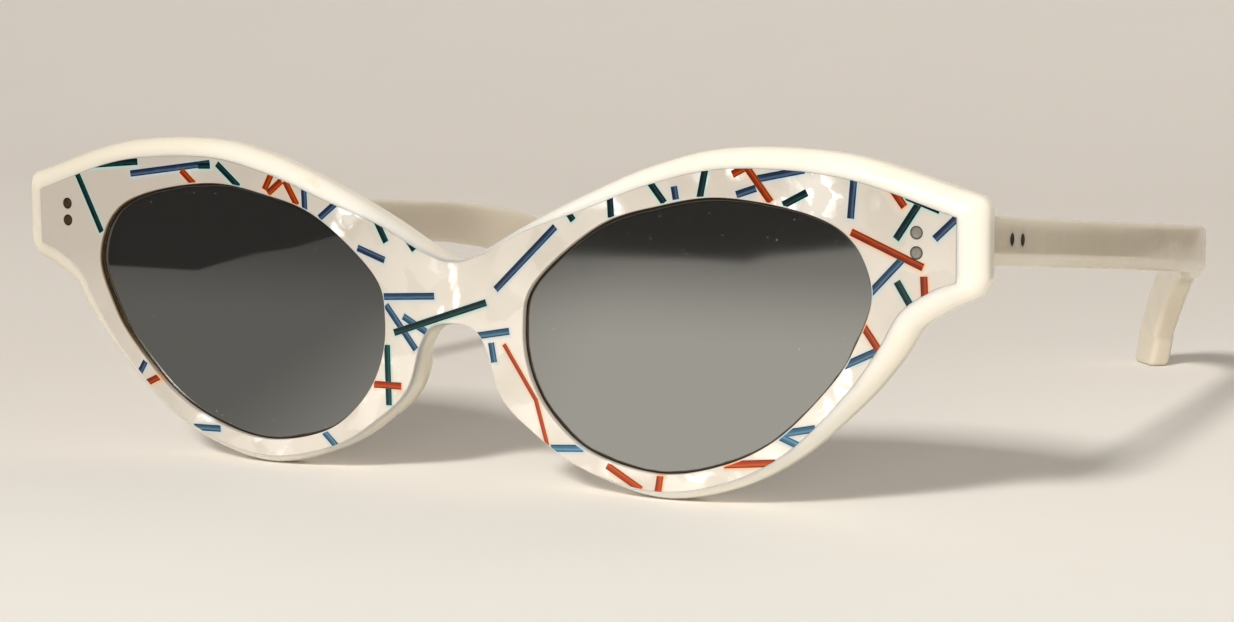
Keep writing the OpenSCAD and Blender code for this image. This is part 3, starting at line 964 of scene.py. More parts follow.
@dataclass(frozen=True)
class MirroredGlow(Finish):
    """What the glasses mirror of the room: light given off by a surface, in two colours side by side."""

    near: Colour
    far: Colour
    span: tuple[float, float] = (-0.02, 0.05)
    slant: float = 0.5
    fade: tuple[float, float] = (-0.4, -0.2)

    def build(self, tree: Tree) -> bpy.types.Material:
        """Far's colour turns into near's as x less slant times y crosses the span, dimmer before the fade.

        Args:
            tree: the empty tree of the material.

        Returns:
            The material.
        """
        place = tree.place()
        x, y = tree.axis(0, place), tree.axis(1, place)
        colour = tree.mix(tree.band(x - y * self.slant, *self.span), self.far, self.near)
        lit = tree.band(y, *self.fade) * 0.5 + 0.5
        glow = tree.node("Emission", Color=tree.mix(lit, (0.0, 0.0, 0.0), colour), Strength=1.0)
        tree.node("OutputMaterial", Surface=glow)
        return tree.owner


# The cream carries painted shade at its right end.
CREAM = PolishedAcetate(
    "cream acetate", "cream_acetate", pale=(0.9, 0.84, 0.745), warm=(0.88, 0.8, 0.66), dull=0.9
)
PAD = PolishedAcetate(
    "pad acetate", "pad_acetate", pale=(0.84, 0.77, 0.61), warm=(0.8, 0.71, 0.52), clouds=90.0
)
TEMPLE = PolishedAcetate(
    "temple acetate", "temple_acetate", pale=(0.73, 0.67, 0.56), warm=(0.68, 0.605, 0.47), clouds=30.0
)
PEARL = PearlLaminate(
    "pearl laminate",
    "pearl",
    milk=(0.81, 0.755, 0.68),
    silver=(0.97, 0.96, 0.94),
    blush=(0.6, 0.545, 0.475),
    shade=(0.43, 0.385, 0.34),
    well=(0.03, 0.022, 0.015),
    cut_edge=(0.36, 0.235, 0.1),
    tints=((0.8, 0.36, 0.16), (0.3, 0.56, 0.53), (0.38, 0.52, 0.62)),
    folds=(
        (0.0503, 0.0378, 0.0035, 0.0032), (0.0462, 0.036, 0.0015, 0.001), (0.0401, 0.0393, 0.0013, 0.001),
        (0.0348, 0.0392, 0.0014, 0.0012), (0.0223, 0.0357, 0.0022, 0.0012), (-0.0002, 0.0262, 0.0008, 0.002),
        (0.0004, 0.0238, 0.0006, 0.0022), (-0.0018, 0.0214, 0.0005, 0.0013),
        (-0.0153, 0.0334, 0.0022, 0.0013), (-0.0172, 0.0317, 0.0014, 0.001),
        (-0.0396, 0.0054, 0.0022, 0.0012), (0.0538, 0.0157, 0.0016, 0.0024),
        (0.0517, 0.0126, 0.0014, 0.0018), (0.0349, 0.0033, 0.003, 0.0008), (0.0225, 0.0036, 0.0012, 0.0007),
    ),
)
ORANGE = InlaidStick(
    "orange stick",
    "orange_stick",
    heart=(0.17, 0.014, 0.002),
    pale=(0.33, 0.028, 0.003),
    lit=(0.34, 0.048, 0.003),
    lit_low=(0.5, 0.075, 0.005),
    fringe=(0.5, 0.31, 0.17),
)
GREEN = InlaidStick(
    "green stick",
    "green_stick",
    heart=(0.002, 0.009, 0.011),
    pale=(0.004, 0.026, 0.028),
    lit=(0.005, 0.034, 0.034),
    lit_low=(0.009, 0.11, 0.105),
    fringe=(0.2, 0.42, 0.42),
)
BLUE = InlaidStick(
    "blue stick",
    "blue_stick",
    heart=(0.01, 0.018, 0.045),
    pale=(0.035, 0.12, 0.2),
    lit=(0.055, 0.095, 0.17),
    lit_low=(0.1, 0.27, 0.38),
    fringe=(0.3, 0.46, 0.56),
)
LENS = SmokedLens(
    "smoked lens", "grey_lens", silvering=(0.36, 0.355, 0.34), line=(0.035, 0.022, 0.012), rim=0.32
)
HINGE_METAL = WornMetal(
    "hinge metal", "hinge_metal", bright=(0.62, 0.6, 0.56), tarnish=(0.36, 0.31, 0.25), rough=0.22
)
SCREW_METAL = WornMetal(
    "screw metal", "screw_metal", bright=(0.72, 0.7, 0.67), tarnish=(0.45, 0.41, 0.36), rough=0.14
)
BRIGHT_RIVET, BROWN_RIVET, DARK_RIVET = (
    WornMetal(name, "rivet_metal", bright, tarnish, rough, ring=True)
    for name, bright, tarnish, rough in (
        ("bright rivet", (0.5, 0.47, 0.42), (0.3, 0.27, 0.23), 0.3),
        ("brown rivet", (0.2, 0.13, 0.08), (0.07, 0.045, 0.028), 0.32),
        ("dark rivet", (0.035, 0.024, 0.02), (0.014, 0.01, 0.009), 0.4),
    )
)


# The sunglasses


@dataclass(frozen=True)
class LensOpening:
    """The opening for the left lens, and the panel's width round it."""

    width: float = 46.7
    height: float = 33.7
    gap: float = 20.6
    dip: float = 12.4
    rim_top: float = 3.6
    rim_low: float = 2.1
    steps: int = 12

    @property
    def centre(self) -> np.ndarray:
        """Middle of the opening, in x and z."""
        return np.array([(self.gap + self.width) / 2, -self.dip])

    @property
    def half(self) -> np.ndarray:
        """Half the opening's width and half its height."""
        return np.array([self.width, self.height]) / 2

    def stations(self) -> np.ndarray:
        """The points that the opening runs through, clockwise from the temple's side.

        Returns:
            Rows of x and z, as shares of half the opening's size, and the panel's width beside the point,
            or 0 where the panel's edge isn't measured from it.
        """
        low, top = self.rim_low, self.rim_top
        return np.array(
            [
                [0.91, 0, low + 0.9], [0.775, -0.285, low + 0.2], [0.488, -0.676, low - 0.1],
                [0.174, -0.9, low], [-0.19, -1, low + 0.1], [-0.58, -0.895, low + 0.3],
                [-0.82, -0.66, low + 1.3], [-0.96, -0.355, 0], [-1, 0, 0], [-0.93, 0.34, 0],
                [-0.55, 0.765, top - 0.8], [-0.18, 0.93, top - 0.8], [0.19, 1, top],
                [0.655, 0.905, top + 2.5], [0.9, 0.72, 0], [1, 0.37, 0],
            ]
        )

    def line(self, more: float) -> np.ndarray:
        """Outline of the opening, grown by more."""
        return grown(spline(self.stations()[:, :2] * self.half, self.steps, closed=True), more) + self.centre

    def beside(self, station: int, bevel: float) -> list[float]:
        """The panel's edge beside a station: the station moved on by the panel's width, from the middle.

        Args:
            station: the station's number.
            bevel: the bevel's width there.

        Returns:
            x, z, the bevel's width and no filing.
        """
        row = self.stations()[station]
        spot = row[:2] * self.half
        return [*(self.centre + spot * (1 + row[2] / np.linalg.norm(spot))), bevel, 0]


@dataclass(frozen=True)
class FrontOutline:
    """The panel's edge and the bevel round it."""

    opening: LensOpening
    width: float = 141.0
    brow_dip: float = 4.6
    arch_dip: float = 12.3
    nose_w: float = 14.2
    nose_dip: float = 21.2
    end_rise: float = 3.0
    end_fall: float = 4.4
    bevel_end: float = 3.2
    bevel_top: float = 2.4
    bevel_under: float = 2.7
    bevel_low: float = 1.1
    bevel_nose: float = 0.35
    corner_r: float = 1.8
    foot_r: float = 3.2
    least_r: float = 0.2
    steps: int = 12
    corner_steps: int = 10

    @property
    def end_x(self) -> float:
        """Where the panel ends."""
        return self.width / 2 - self.bevel_end

    def brow(self) -> np.ndarray:
        """The points that the panel's upper edge runs through, from the middle to the end.

        Returns:
            Rows of x, z, the bevel's width and no filing.
        """
        gap, beside = self.opening.gap, self.opening.beside
        dip, top, nose = self.brow_dip, self.bevel_top, self.bevel_nose
        return np.array(
            [
                [0, -dip, nose, 0], [0.1 * gap, 0.25 - dip, 1.2 * nose, 0],
                [0.275 * gap, 1.7 - dip, 2 * nose, 0], [0.54 * gap, 4.4 - dip, 0.4 * top, 0],
                beside(10, 0.76 * top), beside(11, 0.92 * top), beside(12, top), beside(13, 1.08 * top),
                [self.end_x, self.end_rise, 1.2 * top, 0],
            ]
        )

    def lower(self) -> np.ndarray:
        """The points that the panel's lower edge runs through, from the end to the nose arch.

        Returns:
            Rows of x, z, the bevel's width and the share of filing.
        """
        x, fall, under, low = self.end_x, self.end_fall, self.bevel_under, self.bevel_low
        side, dip, nose, beside = self.nose_w / 2, self.nose_dip, self.bevel_nose, self.opening.beside
        return np.array(
            [
                [x, -fall, 0.9 * under, 0], [x - 2.8, -fall - 1, under, 0], [x - 6.7, -fall - 3.6, under, 0],
                beside(0, 0.9 * under), beside(1, 1.7 * low), beside(2, 1.1 * low), beside(3, low),
                beside(4, low), beside(5, 1.3 * nose), beside(6, nose), [side, -dip, nose, 0.8],
                [side - 2.1, -dip + 5.8, nose, 1], [side - 4, -self.arch_dip - 0.6, nose, 1],
                [0, -self.arch_dip, nose, 0.8],
            ]
        )

    def line(self, share: float, more: float = 0.0, filed: float = 0.0) -> np.ndarray:
        """Closed outline of the front, a share of the bevel and more outside the panel's edge.

        Args:
            share: share of the bevel's width, which varies along the edge.
            more: distance added everywhere.
            filed: distance taken off round the nose.

        Returns:
            The clockwise outline, in x and z.
        """
        brow = spline(self.brow(), self.steps, mirrored_start=True)
        lower = spline(self.lower(), self.steps, mirrored_end=True)
        over, under = brow[-1], lower[0]
        first, last = brow[0], lower[-1]

        def arc(at: np.ndarray, ways: tuple, outs: tuple, radius: float) -> np.ndarray:
            """A corner of the end, its radius a share of the full one and more."""
            return corner(at[:2], *ways, *outs, max(self.least_r, radius * share + more), self.corner_steps)

        down = np.array([0.0, -1.0])
        way_in, way_out = unit((over - brow[-2])[:2]), unit((lower[1] - under)[:2])
        above, beyond, below = (width * share + more for width in (over[2], self.bevel_end, under[2]))
        half = np.vstack(
            [
                [[0, first[1] + first[2] * share + more]],
                moved(brow, share, more, filed),
                arc(over, (way_in, down), (above, beyond), self.corner_r),
                arc(under, (down, way_out), (beyond, below), self.foot_r),
                moved(lower, share, more, filed),
                [[0, last[1] - last[2] * share - more + last[3] * filed]],
            ]
        )
        return np.vstack([half, half[-2:0:-1] * [-1, 1]])


def moved(line: np.ndarray, share: float, more: float, filed: float) -> np.ndarray:
    """The inner points of an open line, each moved out by a share of its width and more, less its filing.

    Args:
        line: rows of x, z, the bevel's width and the share of filing.
        share: share of the width that the points move out.
        more: distance added everywhere.
        filed: distance taken off where the share of filing is 1.

    Returns:
        The moved points, in x and z.
    """
    side = outward(np.diff(line[:, :2], axis=0))
    out = line[1:-1, 2:3] * share + more - line[1:-1, 3:4] * filed
    return line[1:-1, :2] + mitre(side[:-1], side[1:]) * out


@dataclass(frozen=True)
class Stick:
    """A coloured stick: the middle of it in x and z, its length, its slant in degrees and its width."""

    x: float
    z: float
    length: float
    slant: float
    width: float = 0.9

    @property
    def axes(self) -> np.ndarray:
        """Unit directions along and across the stick, one in each row."""
        cos, sin = math.cos(math.radians(self.slant)), math.sin(math.radians(self.slant))
        return np.array([[cos, sin], [-sin, cos]])

    @property
    def half(self) -> np.ndarray:
        """Half its length and half its width."""
        return np.array([self.length, self.width]) / 2

    def own(self, flat: np.ndarray) -> np.ndarray:
        """Places along and across the stick, from its middle."""
        return (flat - [self.x, self.z]) @ self.axes.T

    def corners(self) -> np.ndarray:
        """Its four corners, clockwise."""
        reach = np.array([[-1, 1], [1, 1], [1, -1], [-1, -1]]) * self.half
        return np.array([self.x, self.z]) + reach @ self.axes

    def distance(self, flat: np.ndarray) -> np.ndarray:
        """How far points lie outside it: the length of what is left of |place| past half its size."""
        return np.linalg.norm(np.maximum(np.abs(self.own(flat)) - self.half, 0), axis=1)

    def pattern(self, flat: np.ndarray) -> np.ndarray:
        """The stick's tone and the place across it, both from 0 to 1.

        The tone is paler lower down and darker to the right, which is painted shade, and a little uneven from
        stick to stick.
        """
        # Painted shade: paler lower down and darker to the right; the sine makes it uneven from stick to
        # stick.
        tone = np.clip((-self.z - 3) / 22 + min(self.x, 0) / 50 + 0.15 * math.sin(7.3 * self.x), 0, 1)
        return np.stack([np.full(len(flat), tone), self.own(flat)[:, 1] / self.width + 0.5], axis=1)


@dataclass(frozen=True)
class Inlay:
    """The sticks of one colour."""

    word: str
    look: Finish
    sticks: list[Stick]

    @classmethod
    def of(cls, word: str, look: Finish, *rows: Sequence[float]) -> Inlay:
        """An inlay whose sticks are given as rows of numbers, in the order of a Stick's fields."""
        return cls(word, look, [Stick(*row) for row in rows])

    def distance(self, flat: np.ndarray) -> np.ndarray:
        """How far points lie from the nearest stick."""
        return np.min([stick.distance(flat) for stick in self.sticks], axis=0)


INLAYS = (
    Inlay.of(
        "orange", ORANGE,
        (-10, -20.8, 4.2, 0), (9.9, -18, 8.3, 124, 0.55), (12.9, -24, 6, 106, 0.55), (24.5, -30, 5.4, 151),
        (29.4, -30, 3.4, 80), (41.5, -27, 6.8, 6), (56.8, -10.9, 4, 126), (63.5, -5.3, 3, 93),
        (58.9, -0.9, 9.6, 157), (60.3, 5, 2.4, 127), (40.4, 7.8, 2.4, 27), (42.7, 6.2, 5.2, 128),
        (-41.5, 5.2, 2.8, 139), (-28.3, 4.8, 2.2, 61), (-27.2, 4.2, 2.8, 37), (-24.6, 3.5, 3.6, 121),
        (-48.7, -22.6, 3.6, 24),
    ),
    Inlay.of(
        "green", GREEN,
        (-1.9, -11.7, 14.6, 18), (-10.6, -1, 3.2, 118), (-6.2, -2.4, 2.2, 128), (-9.9, -19.5, 7.8, 91),
        (61.2, -6.2, 4, 122), (61.4, 2.4, 5, 56), (63.3, 4.5, 4.3, 160), (47.4, 4.6, 3.4, 27),
        (35.4, 6.2, 3.6, 78), (29.2, 5, 3.4, 129), (22.9, 3.2, 3, 93), (17.1, 2, 2, 127),
        (-58.6, 1.4, 9, 117), (-54.3, 6.8, 8.7, 4), (-38.7, 6.8, 2, 1), (-34.8, 5.6, 4.6, 140),
    ),
    Inlay.of(
        "blue", BLUE,
        (10.8, -3.7, 11.9, 43), (-6.5, -9.2, 7.7, 3), (-7.8, -13.2, 7.1, 129), (-5.7, -12.7, 3.9, 152),
        (-12.2, -4, 4.4, 161), (6, -13.3, 4.8, 10), (5.9, -15.7, 2.5, 100), (16.5, -27, 4.6, 4),
        (48, -22.6, 4.1, 12), (46.9, -24, 3, 160), (55.7, -13.6, 5.2, 25), (58.7, -4.1, 6, 46),
        (66.1, 1.8, 3.8, 43), (54.6, 4.8, 4.6, 85), (41.1, 5.3, 2.7, 18), (45.6, 7.4, 6.1, 11),
        (31.7, 4.9, 1.6, 100), (-44.5, 6.3, 13.6, 7), (-22.5, 2.9, 3, 92), (-18.8, 1.4, 3.4, 37),
        (-50.3, -21.1, 2.6, 57), (-39.3, -28.4, 4.5, 1), (-19, -28.6, 3, 138),
    ),
)


@dataclass
class Front:
    """The laminated front: bevelled cream base, pearl panel, sticks, rivets, nose pads and lenses."""

    shop: Workshop
    outline: FrontOutline
    opening: LensOpening
    thick: float = 4.0
    bevel_t: float = 2.1
    back_round: float = 0.5
    nose_file: float = 1.0
    file_from: float = 2.8
    file_power: float = 1.7
    back_soft: float = 0.5
    lip: float = 0.06
    panel_t: float = 0.8
    face_soft: float = 0.35
    joint: float = 0.03
    # Painted glow of the sticks' colour: how far it reaches, how it is shifted, the grid's step and its gap
    # from the outlines.
    bleed_reach: float = 0.5
    bleed_shift: tuple[float, float] = (-0.05, 0.1)
    bleed_step: float = 0.24
    bleed_clear: float = 0.1
    stick_t: float = 0.3
    stick_gap: float = 0.2
    stick_lifts: tuple[float, float, float] = (0.008, 0.012, 0.0003)
    lens_t: float = 1.8
    lens_inset: float = 0.9
    lens_play: float = 0.12
    vee: float = 0.7
    rivet_in: float = 8.0
    rivet_gap: float = 2.3
    rivet_r: float = 0.74
    rivet_play: float = 0.04
    hinge_h: float = 4.6
    leaf_t: float = 0.9
    leaf_reach: tuple[float, float] = (60.1, 65.48)
    leaf_play: float = 0.02
    pad_half_w: float = 2.1
    pad_t: float = 4.2
    pad_sunk: float = 0.3

    def rivet_spots(self) -> list[np.ndarray]:
        """Places of the left rivets, in x and z."""
        x = self.outline.width / 2 - self.rivet_in
        return [np.array([x, sign * self.rivet_gap / 2]) for sign in (-1, 1)]

    def rivet_holes(self) -> list[np.ndarray]:
        """Outlines of the four rivet holes."""
        places = [spot * [side.value, 1] for side in Side for spot in self.rivet_spots()]
        return [circle(place, self.rivet_r + self.rivet_play) for place in places]

    def opening_walls(
        self, profile: Sequence[tuple[float, float]], across: np.ndarray | None = None
    ) -> list[Surface]:
        """Both openings' walls, through outlines grown and sunk as a profile says.

        Args:
            profile: how far each ring is grown, and its depth.
            across: a pattern value for each ring, or None for its share of the way.

        Returns:
            The left wall and the right one.
        """
        left = skin([at_depth(self.opening.line(more), depth) for more, depth in profile], across)
        return [left.on(side) for side in Side]

    def holes(self, more: float) -> list[np.ndarray]:
        """Both openings' outlines, grown by more and clockwise."""
        return both_sides(self.opening.line(more))

    def edge_line(self, share: float, more: float, depth: float) -> np.ndarray:
        """The front's outline at a share of the bevel and at a depth, less what is filed off round the nose.

        The file takes off its full reach times a power of the share of its way back.
        """
        way = max(0.0, (depth - self.file_from) / (self.thick - self.file_from))
        return self.outline.line(share, more, self.nose_file * way**self.file_power)

    def edge_rings(self) -> list[tuple[float, float, float]]:
        """Rings of the edge, from the panel's bed over the bevel and down the side to the back.

        Returns:
            For each ring its share of the bevel, its distance outwards and its depth.
        """
        side_depths = (2.5, 2.8, 3.0, 3.2, 3.35)
        rings = [(0.0, 0.0, self.panel_t), (0.0, 0.0, 0.03), (0.0, 0.02, 0.0), (0.0, self.lip, 0.0)]
        bevel = np.array([[0, 0], [0.42, 0.16], [0.76, 0.46], [0.94, 0.76], [1, 1]])
        for share, sunk in spline(bevel, 4)[1:]:
            rings.append((share, self.lip * max(0.0, 1 - share / bevel[1, 0]), sunk * self.bevel_t))
        rings += [(1.0, 0.0, depth) for depth in side_depths]
        r = self.back_round
        for angle in np.linspace(0, math.pi / 2, 8):
            rings.append((1.0, -r * (1 - math.cos(angle)), self.thick - r * (1 - math.sin(angle))))
        return [*rings, (1.0, -r - 0.2, self.thick)]

    def build_base(self) -> None:
        """Cream base: an edge swept round the outline, two flat sides, lens grooves and hinge leaf seats."""
        rings = self.edge_rings()
        groove = self.lens_inset
        profile = [
            (0.0, self.panel_t), (0.0, groove - 0.05), (self.vee, groove + self.lens_t / 2),
            (0.0, groove + self.lens_t + 0.05), (0.0, self.thick - 0.3), (0.05, self.thick - 0.12),
            (0.14, self.thick - 0.04), (0.3, self.thick), (self.back_soft, self.thick),
        ]
        x0, x1 = self.leaf_reach[0] - self.leaf_play, self.leaf_reach[1] + self.leaf_play
        z = self.hinge_h / 2 + self.leaf_play
        seats = both_sides(np.array([[x0, z], [x1, z], [x1, -z], [x0, -z]]))
        floor = self.thick - self.leaf_t
        surfaces = [
            skin([at_depth(self.edge_line(*ring), ring[2]) for ring in rings]),
            sheet_at(self.outline.line(0.0), self.holes(0.0), self.panel_t),
            sheet_at(self.edge_line(*rings[-1]), self.holes(self.back_soft) + seats, self.thick),
            *self.opening_walls(profile),
            *(wall(line, self.thick, floor) for line in seats),
            *(sheet_at(line, [], floor) for line in seats),
        ]
        self.shop.finish(self.shop.mesh("cream_base", surfaces), CREAM, "front", "front_frame")

    def bleed_grid(self, loops: Sequence[np.ndarray]) -> np.ndarray:
        """Points in even rows, every other row moved half a step, near a stick and clear of outlines, to draw
        the painted glow on.

        Args:
            loops: the outlines.

        Returns:
            The points, in x and z.
        """
        step, half, bottom, top = self.bleed_step, self.outline.width / 2, -34, 12
        x, z = np.meshgrid(np.arange(-half, half, step), np.arange(bottom, top, step * 0.87))
        x[::2] += step / 2
        grid = np.stack([x.ravel(), z.ravel()], axis=1)
        nearest = np.min([inlay.distance(grid) for inlay in INLAYS], axis=0)
        return clear_of(grid[nearest < self.bleed_reach + step], loops, self.bleed_clear)

    def build_panel(self) -> None:
        """Pearl panel: flat face with softened openings and a hair's breadth of joint round it."""
        edge = self.outline.line(0.0, -self.joint)
        soft = [(self.face_soft, 0.0), (0.2, 0.0), (0.08, 0.03), (0.02, 0.1), (0.0, 0.22)]
        soft.append((0.0, self.panel_t))
        spots = self.rivet_holes()
        open_face = self.holes(self.face_soft) + spots
        surfaces = [
            sheet_at(edge, open_face, 0.0, [self.bleed_grid([edge, *open_face])]),
            sheet_at(edge, self.holes(0.0) + spots, self.panel_t),
            wall(edge, 0.0, self.panel_t),
            *self.opening_walls(soft, np.array([1, 1, 1, 0.5, 0, -1])),
            *(wall(line, 0.0, self.panel_t) for line in spots),
        ]
        panel = self.shop.mesh("pearl_panel", surfaces)
        places = np.empty(len(panel.data.vertices) * 3)
        panel.data.vertices.foreach_get("co", places)
        flat = self.shop.stance.local(places.reshape(-1, 3))[:, [0, 2]]
        # Painted glow: how near each colour's sticks are, so the panel is tinted as if light passed through
        # them.
        bleed = np.ones((len(flat), 4))
        for channel, inlay in enumerate(INLAYS):
            nearest = inlay.distance(flat + self.bleed_shift)
            bleed[:, channel] = np.clip(1 - nearest / self.bleed_reach, 0, 1) ** 2
        panel.data.attributes.new("bleed", "FLOAT_COLOR", "POINT").data.foreach_set("color", bleed.ravel())
        self.shop.finish(panel, PEARL, "front", "pearl_face")

    def build_sticks(self, inlay: Inlay, layer: int) -> None:
        """The sticks of one colour, trimmed at the panel's edges, each a hair above the last.

        Args:
            inlay: the sticks.
            layer: 0 for the lowest colour where sticks cross.
        """
        edge = self.outline.line(0.0, -self.joint)
        holes = self.holes(self.stick_gap) + self.rivet_holes()
        least, each_layer, each_stick = self.stick_lifts
        surfaces = []
        for number, stick in enumerate(inlay.sticks):
            flat, triangles = filled(edge, holes, [stick.corners()])
            used, triangles = np.unique(triangles, return_inverse=True)
            flat, triangles = flat[used], triangles.reshape(-1, 3)
            top = -least - each_layer * layer - each_stick * number
            surfaces.append(slab(flat, triangles, top, self.stick_t, stick.pattern(flat)))
        piece = self.shop.mesh(f"sticks_{inlay.word}", surfaces)
        self.shop.finish(piece, inlay.look, "front", f"inlay_{inlay.word}")

    def build_lens(self, side: Side) -> None:
        """Flat lens: outlines drawn in towards its middle on both faces, and a vee edge between them.

        Args:
            side: the lens's side.
        """
        line, tip = self.opening.line(-self.lens_play), self.opening.line(self.vee - self.lens_play / 2)
        shares = np.array([0.0, 0.25, 0.5, 0.7, 0.85, 0.93, 0.97, 0.985, 1.0])
        middle, half_t = self.opening.centre, self.lens_t / 2
        inset = (1 - shares) * np.linalg.norm(line - middle, axis=1).mean()
        face, back = (
            [at_depth(middle + (line - middle) * share, depth) for share in shares]
            for depth in (self.lens_inset, self.lens_inset + self.lens_t)
        )
        rings = [*face, at_depth(tip, self.lens_inset + half_t), *back[::-1]]
        surface = skin(rings, np.concatenate([inset, [0], inset[::-1]]))
        lens = self.shop.mesh(f"lens_glass_{side.word}", [surface.on(side)])
        self.shop.finish(lens, LENS, "front", f"lens_{side.word}")

    def build_rivets(self, side: Side) -> None:
        """Two rivets: a flush head with a ring turned in it, and a domed closed end on the hinge leaf.

        Args:
            side: the end of the front that they go through.
        """
        r = self.rivet_r
        head = np.array(
            [
                [0, -0.03], [0.45 * r, -0.025], [0.7 * r, -0.012], [0.74 * r, 0.03], [0.82 * r, 0.03],
                [0.86 * r, -0.008], [0.96 * r, -0.003], [r, 0.04], [r, 0.6], [0, 0.6],
            ]
        )
        end = np.array(
            [[0, 0.3], [0.4 * r, 0.28], [0.75 * r, 0.2], [0.97 * r, 0.07], [r, 0.0], [r, -0.2], [0, -0.2]]
        )
        surfaces = [
            turned(form, [x, depth, z], [0, 1, 0]).on(side)
            for x, z in self.rivet_spots()
            for form, depth in ((head, 0), (end, self.thick))
        ]
        piece = self.shop.mesh(f"front_rivet_heads_{side.word}", surfaces)
        look = BRIGHT_RIVET if side is Side.LEFT else BROWN_RIVET
        self.shop.finish(piece, look, "front", f"front_rivets_{side.word}")

    def build_pad(self, side: Side) -> None:
        """Nose pad: rings along a slanting line, tallest in the middle and sunk a little into the rim.

        A ring's points lie across the line by the sine of the place round it, times the root of the sine of
        the way along, and above the rim's back by the cosine, times a power of that root.

        Args:
            side: the pad's side.
        """
        steps, around = 40, 28
        t = np.linspace(0, 1, steps)
        path = spline(np.array([[7.5, -15.1], [8.3, -17.3], [9.9, -20.6], [11.7, -23.4], [13.6, -25.9]]), 10)
        way = np.linspace(0, 1, len(path))
        path = np.stack([np.interp(t, way, path[:, k]) for k in (0, 1)], axis=1)
        swell = np.sqrt(np.clip(np.sin(math.pi * t), 0, 1))[:, None]
        along = np.gradient(path, axis=0)
        across = unit(np.stack([along[:, 1], -along[:, 0]], axis=1))
        phi = 2 * math.pi * np.arange(around) / around
        up = np.cos(phi)
        height = np.where(up > 0, up * swell**1.4 * self.pad_t, up * self.pad_sunk * swell)
        flat = path[:, None, :] + across[:, None, :] * (swell * self.pad_half_w * np.sin(phi))[..., None]
        rings = np.stack([flat[..., 0], self.thick + height, flat[..., 1]], axis=-1)
        pad = self.shop.mesh(f"nose_pad_form_{side.word}", [skin(rings).on(side)], sharp=60)
        self.shop.finish(pad, PAD, "front", f"nose_pad_{side.word}")


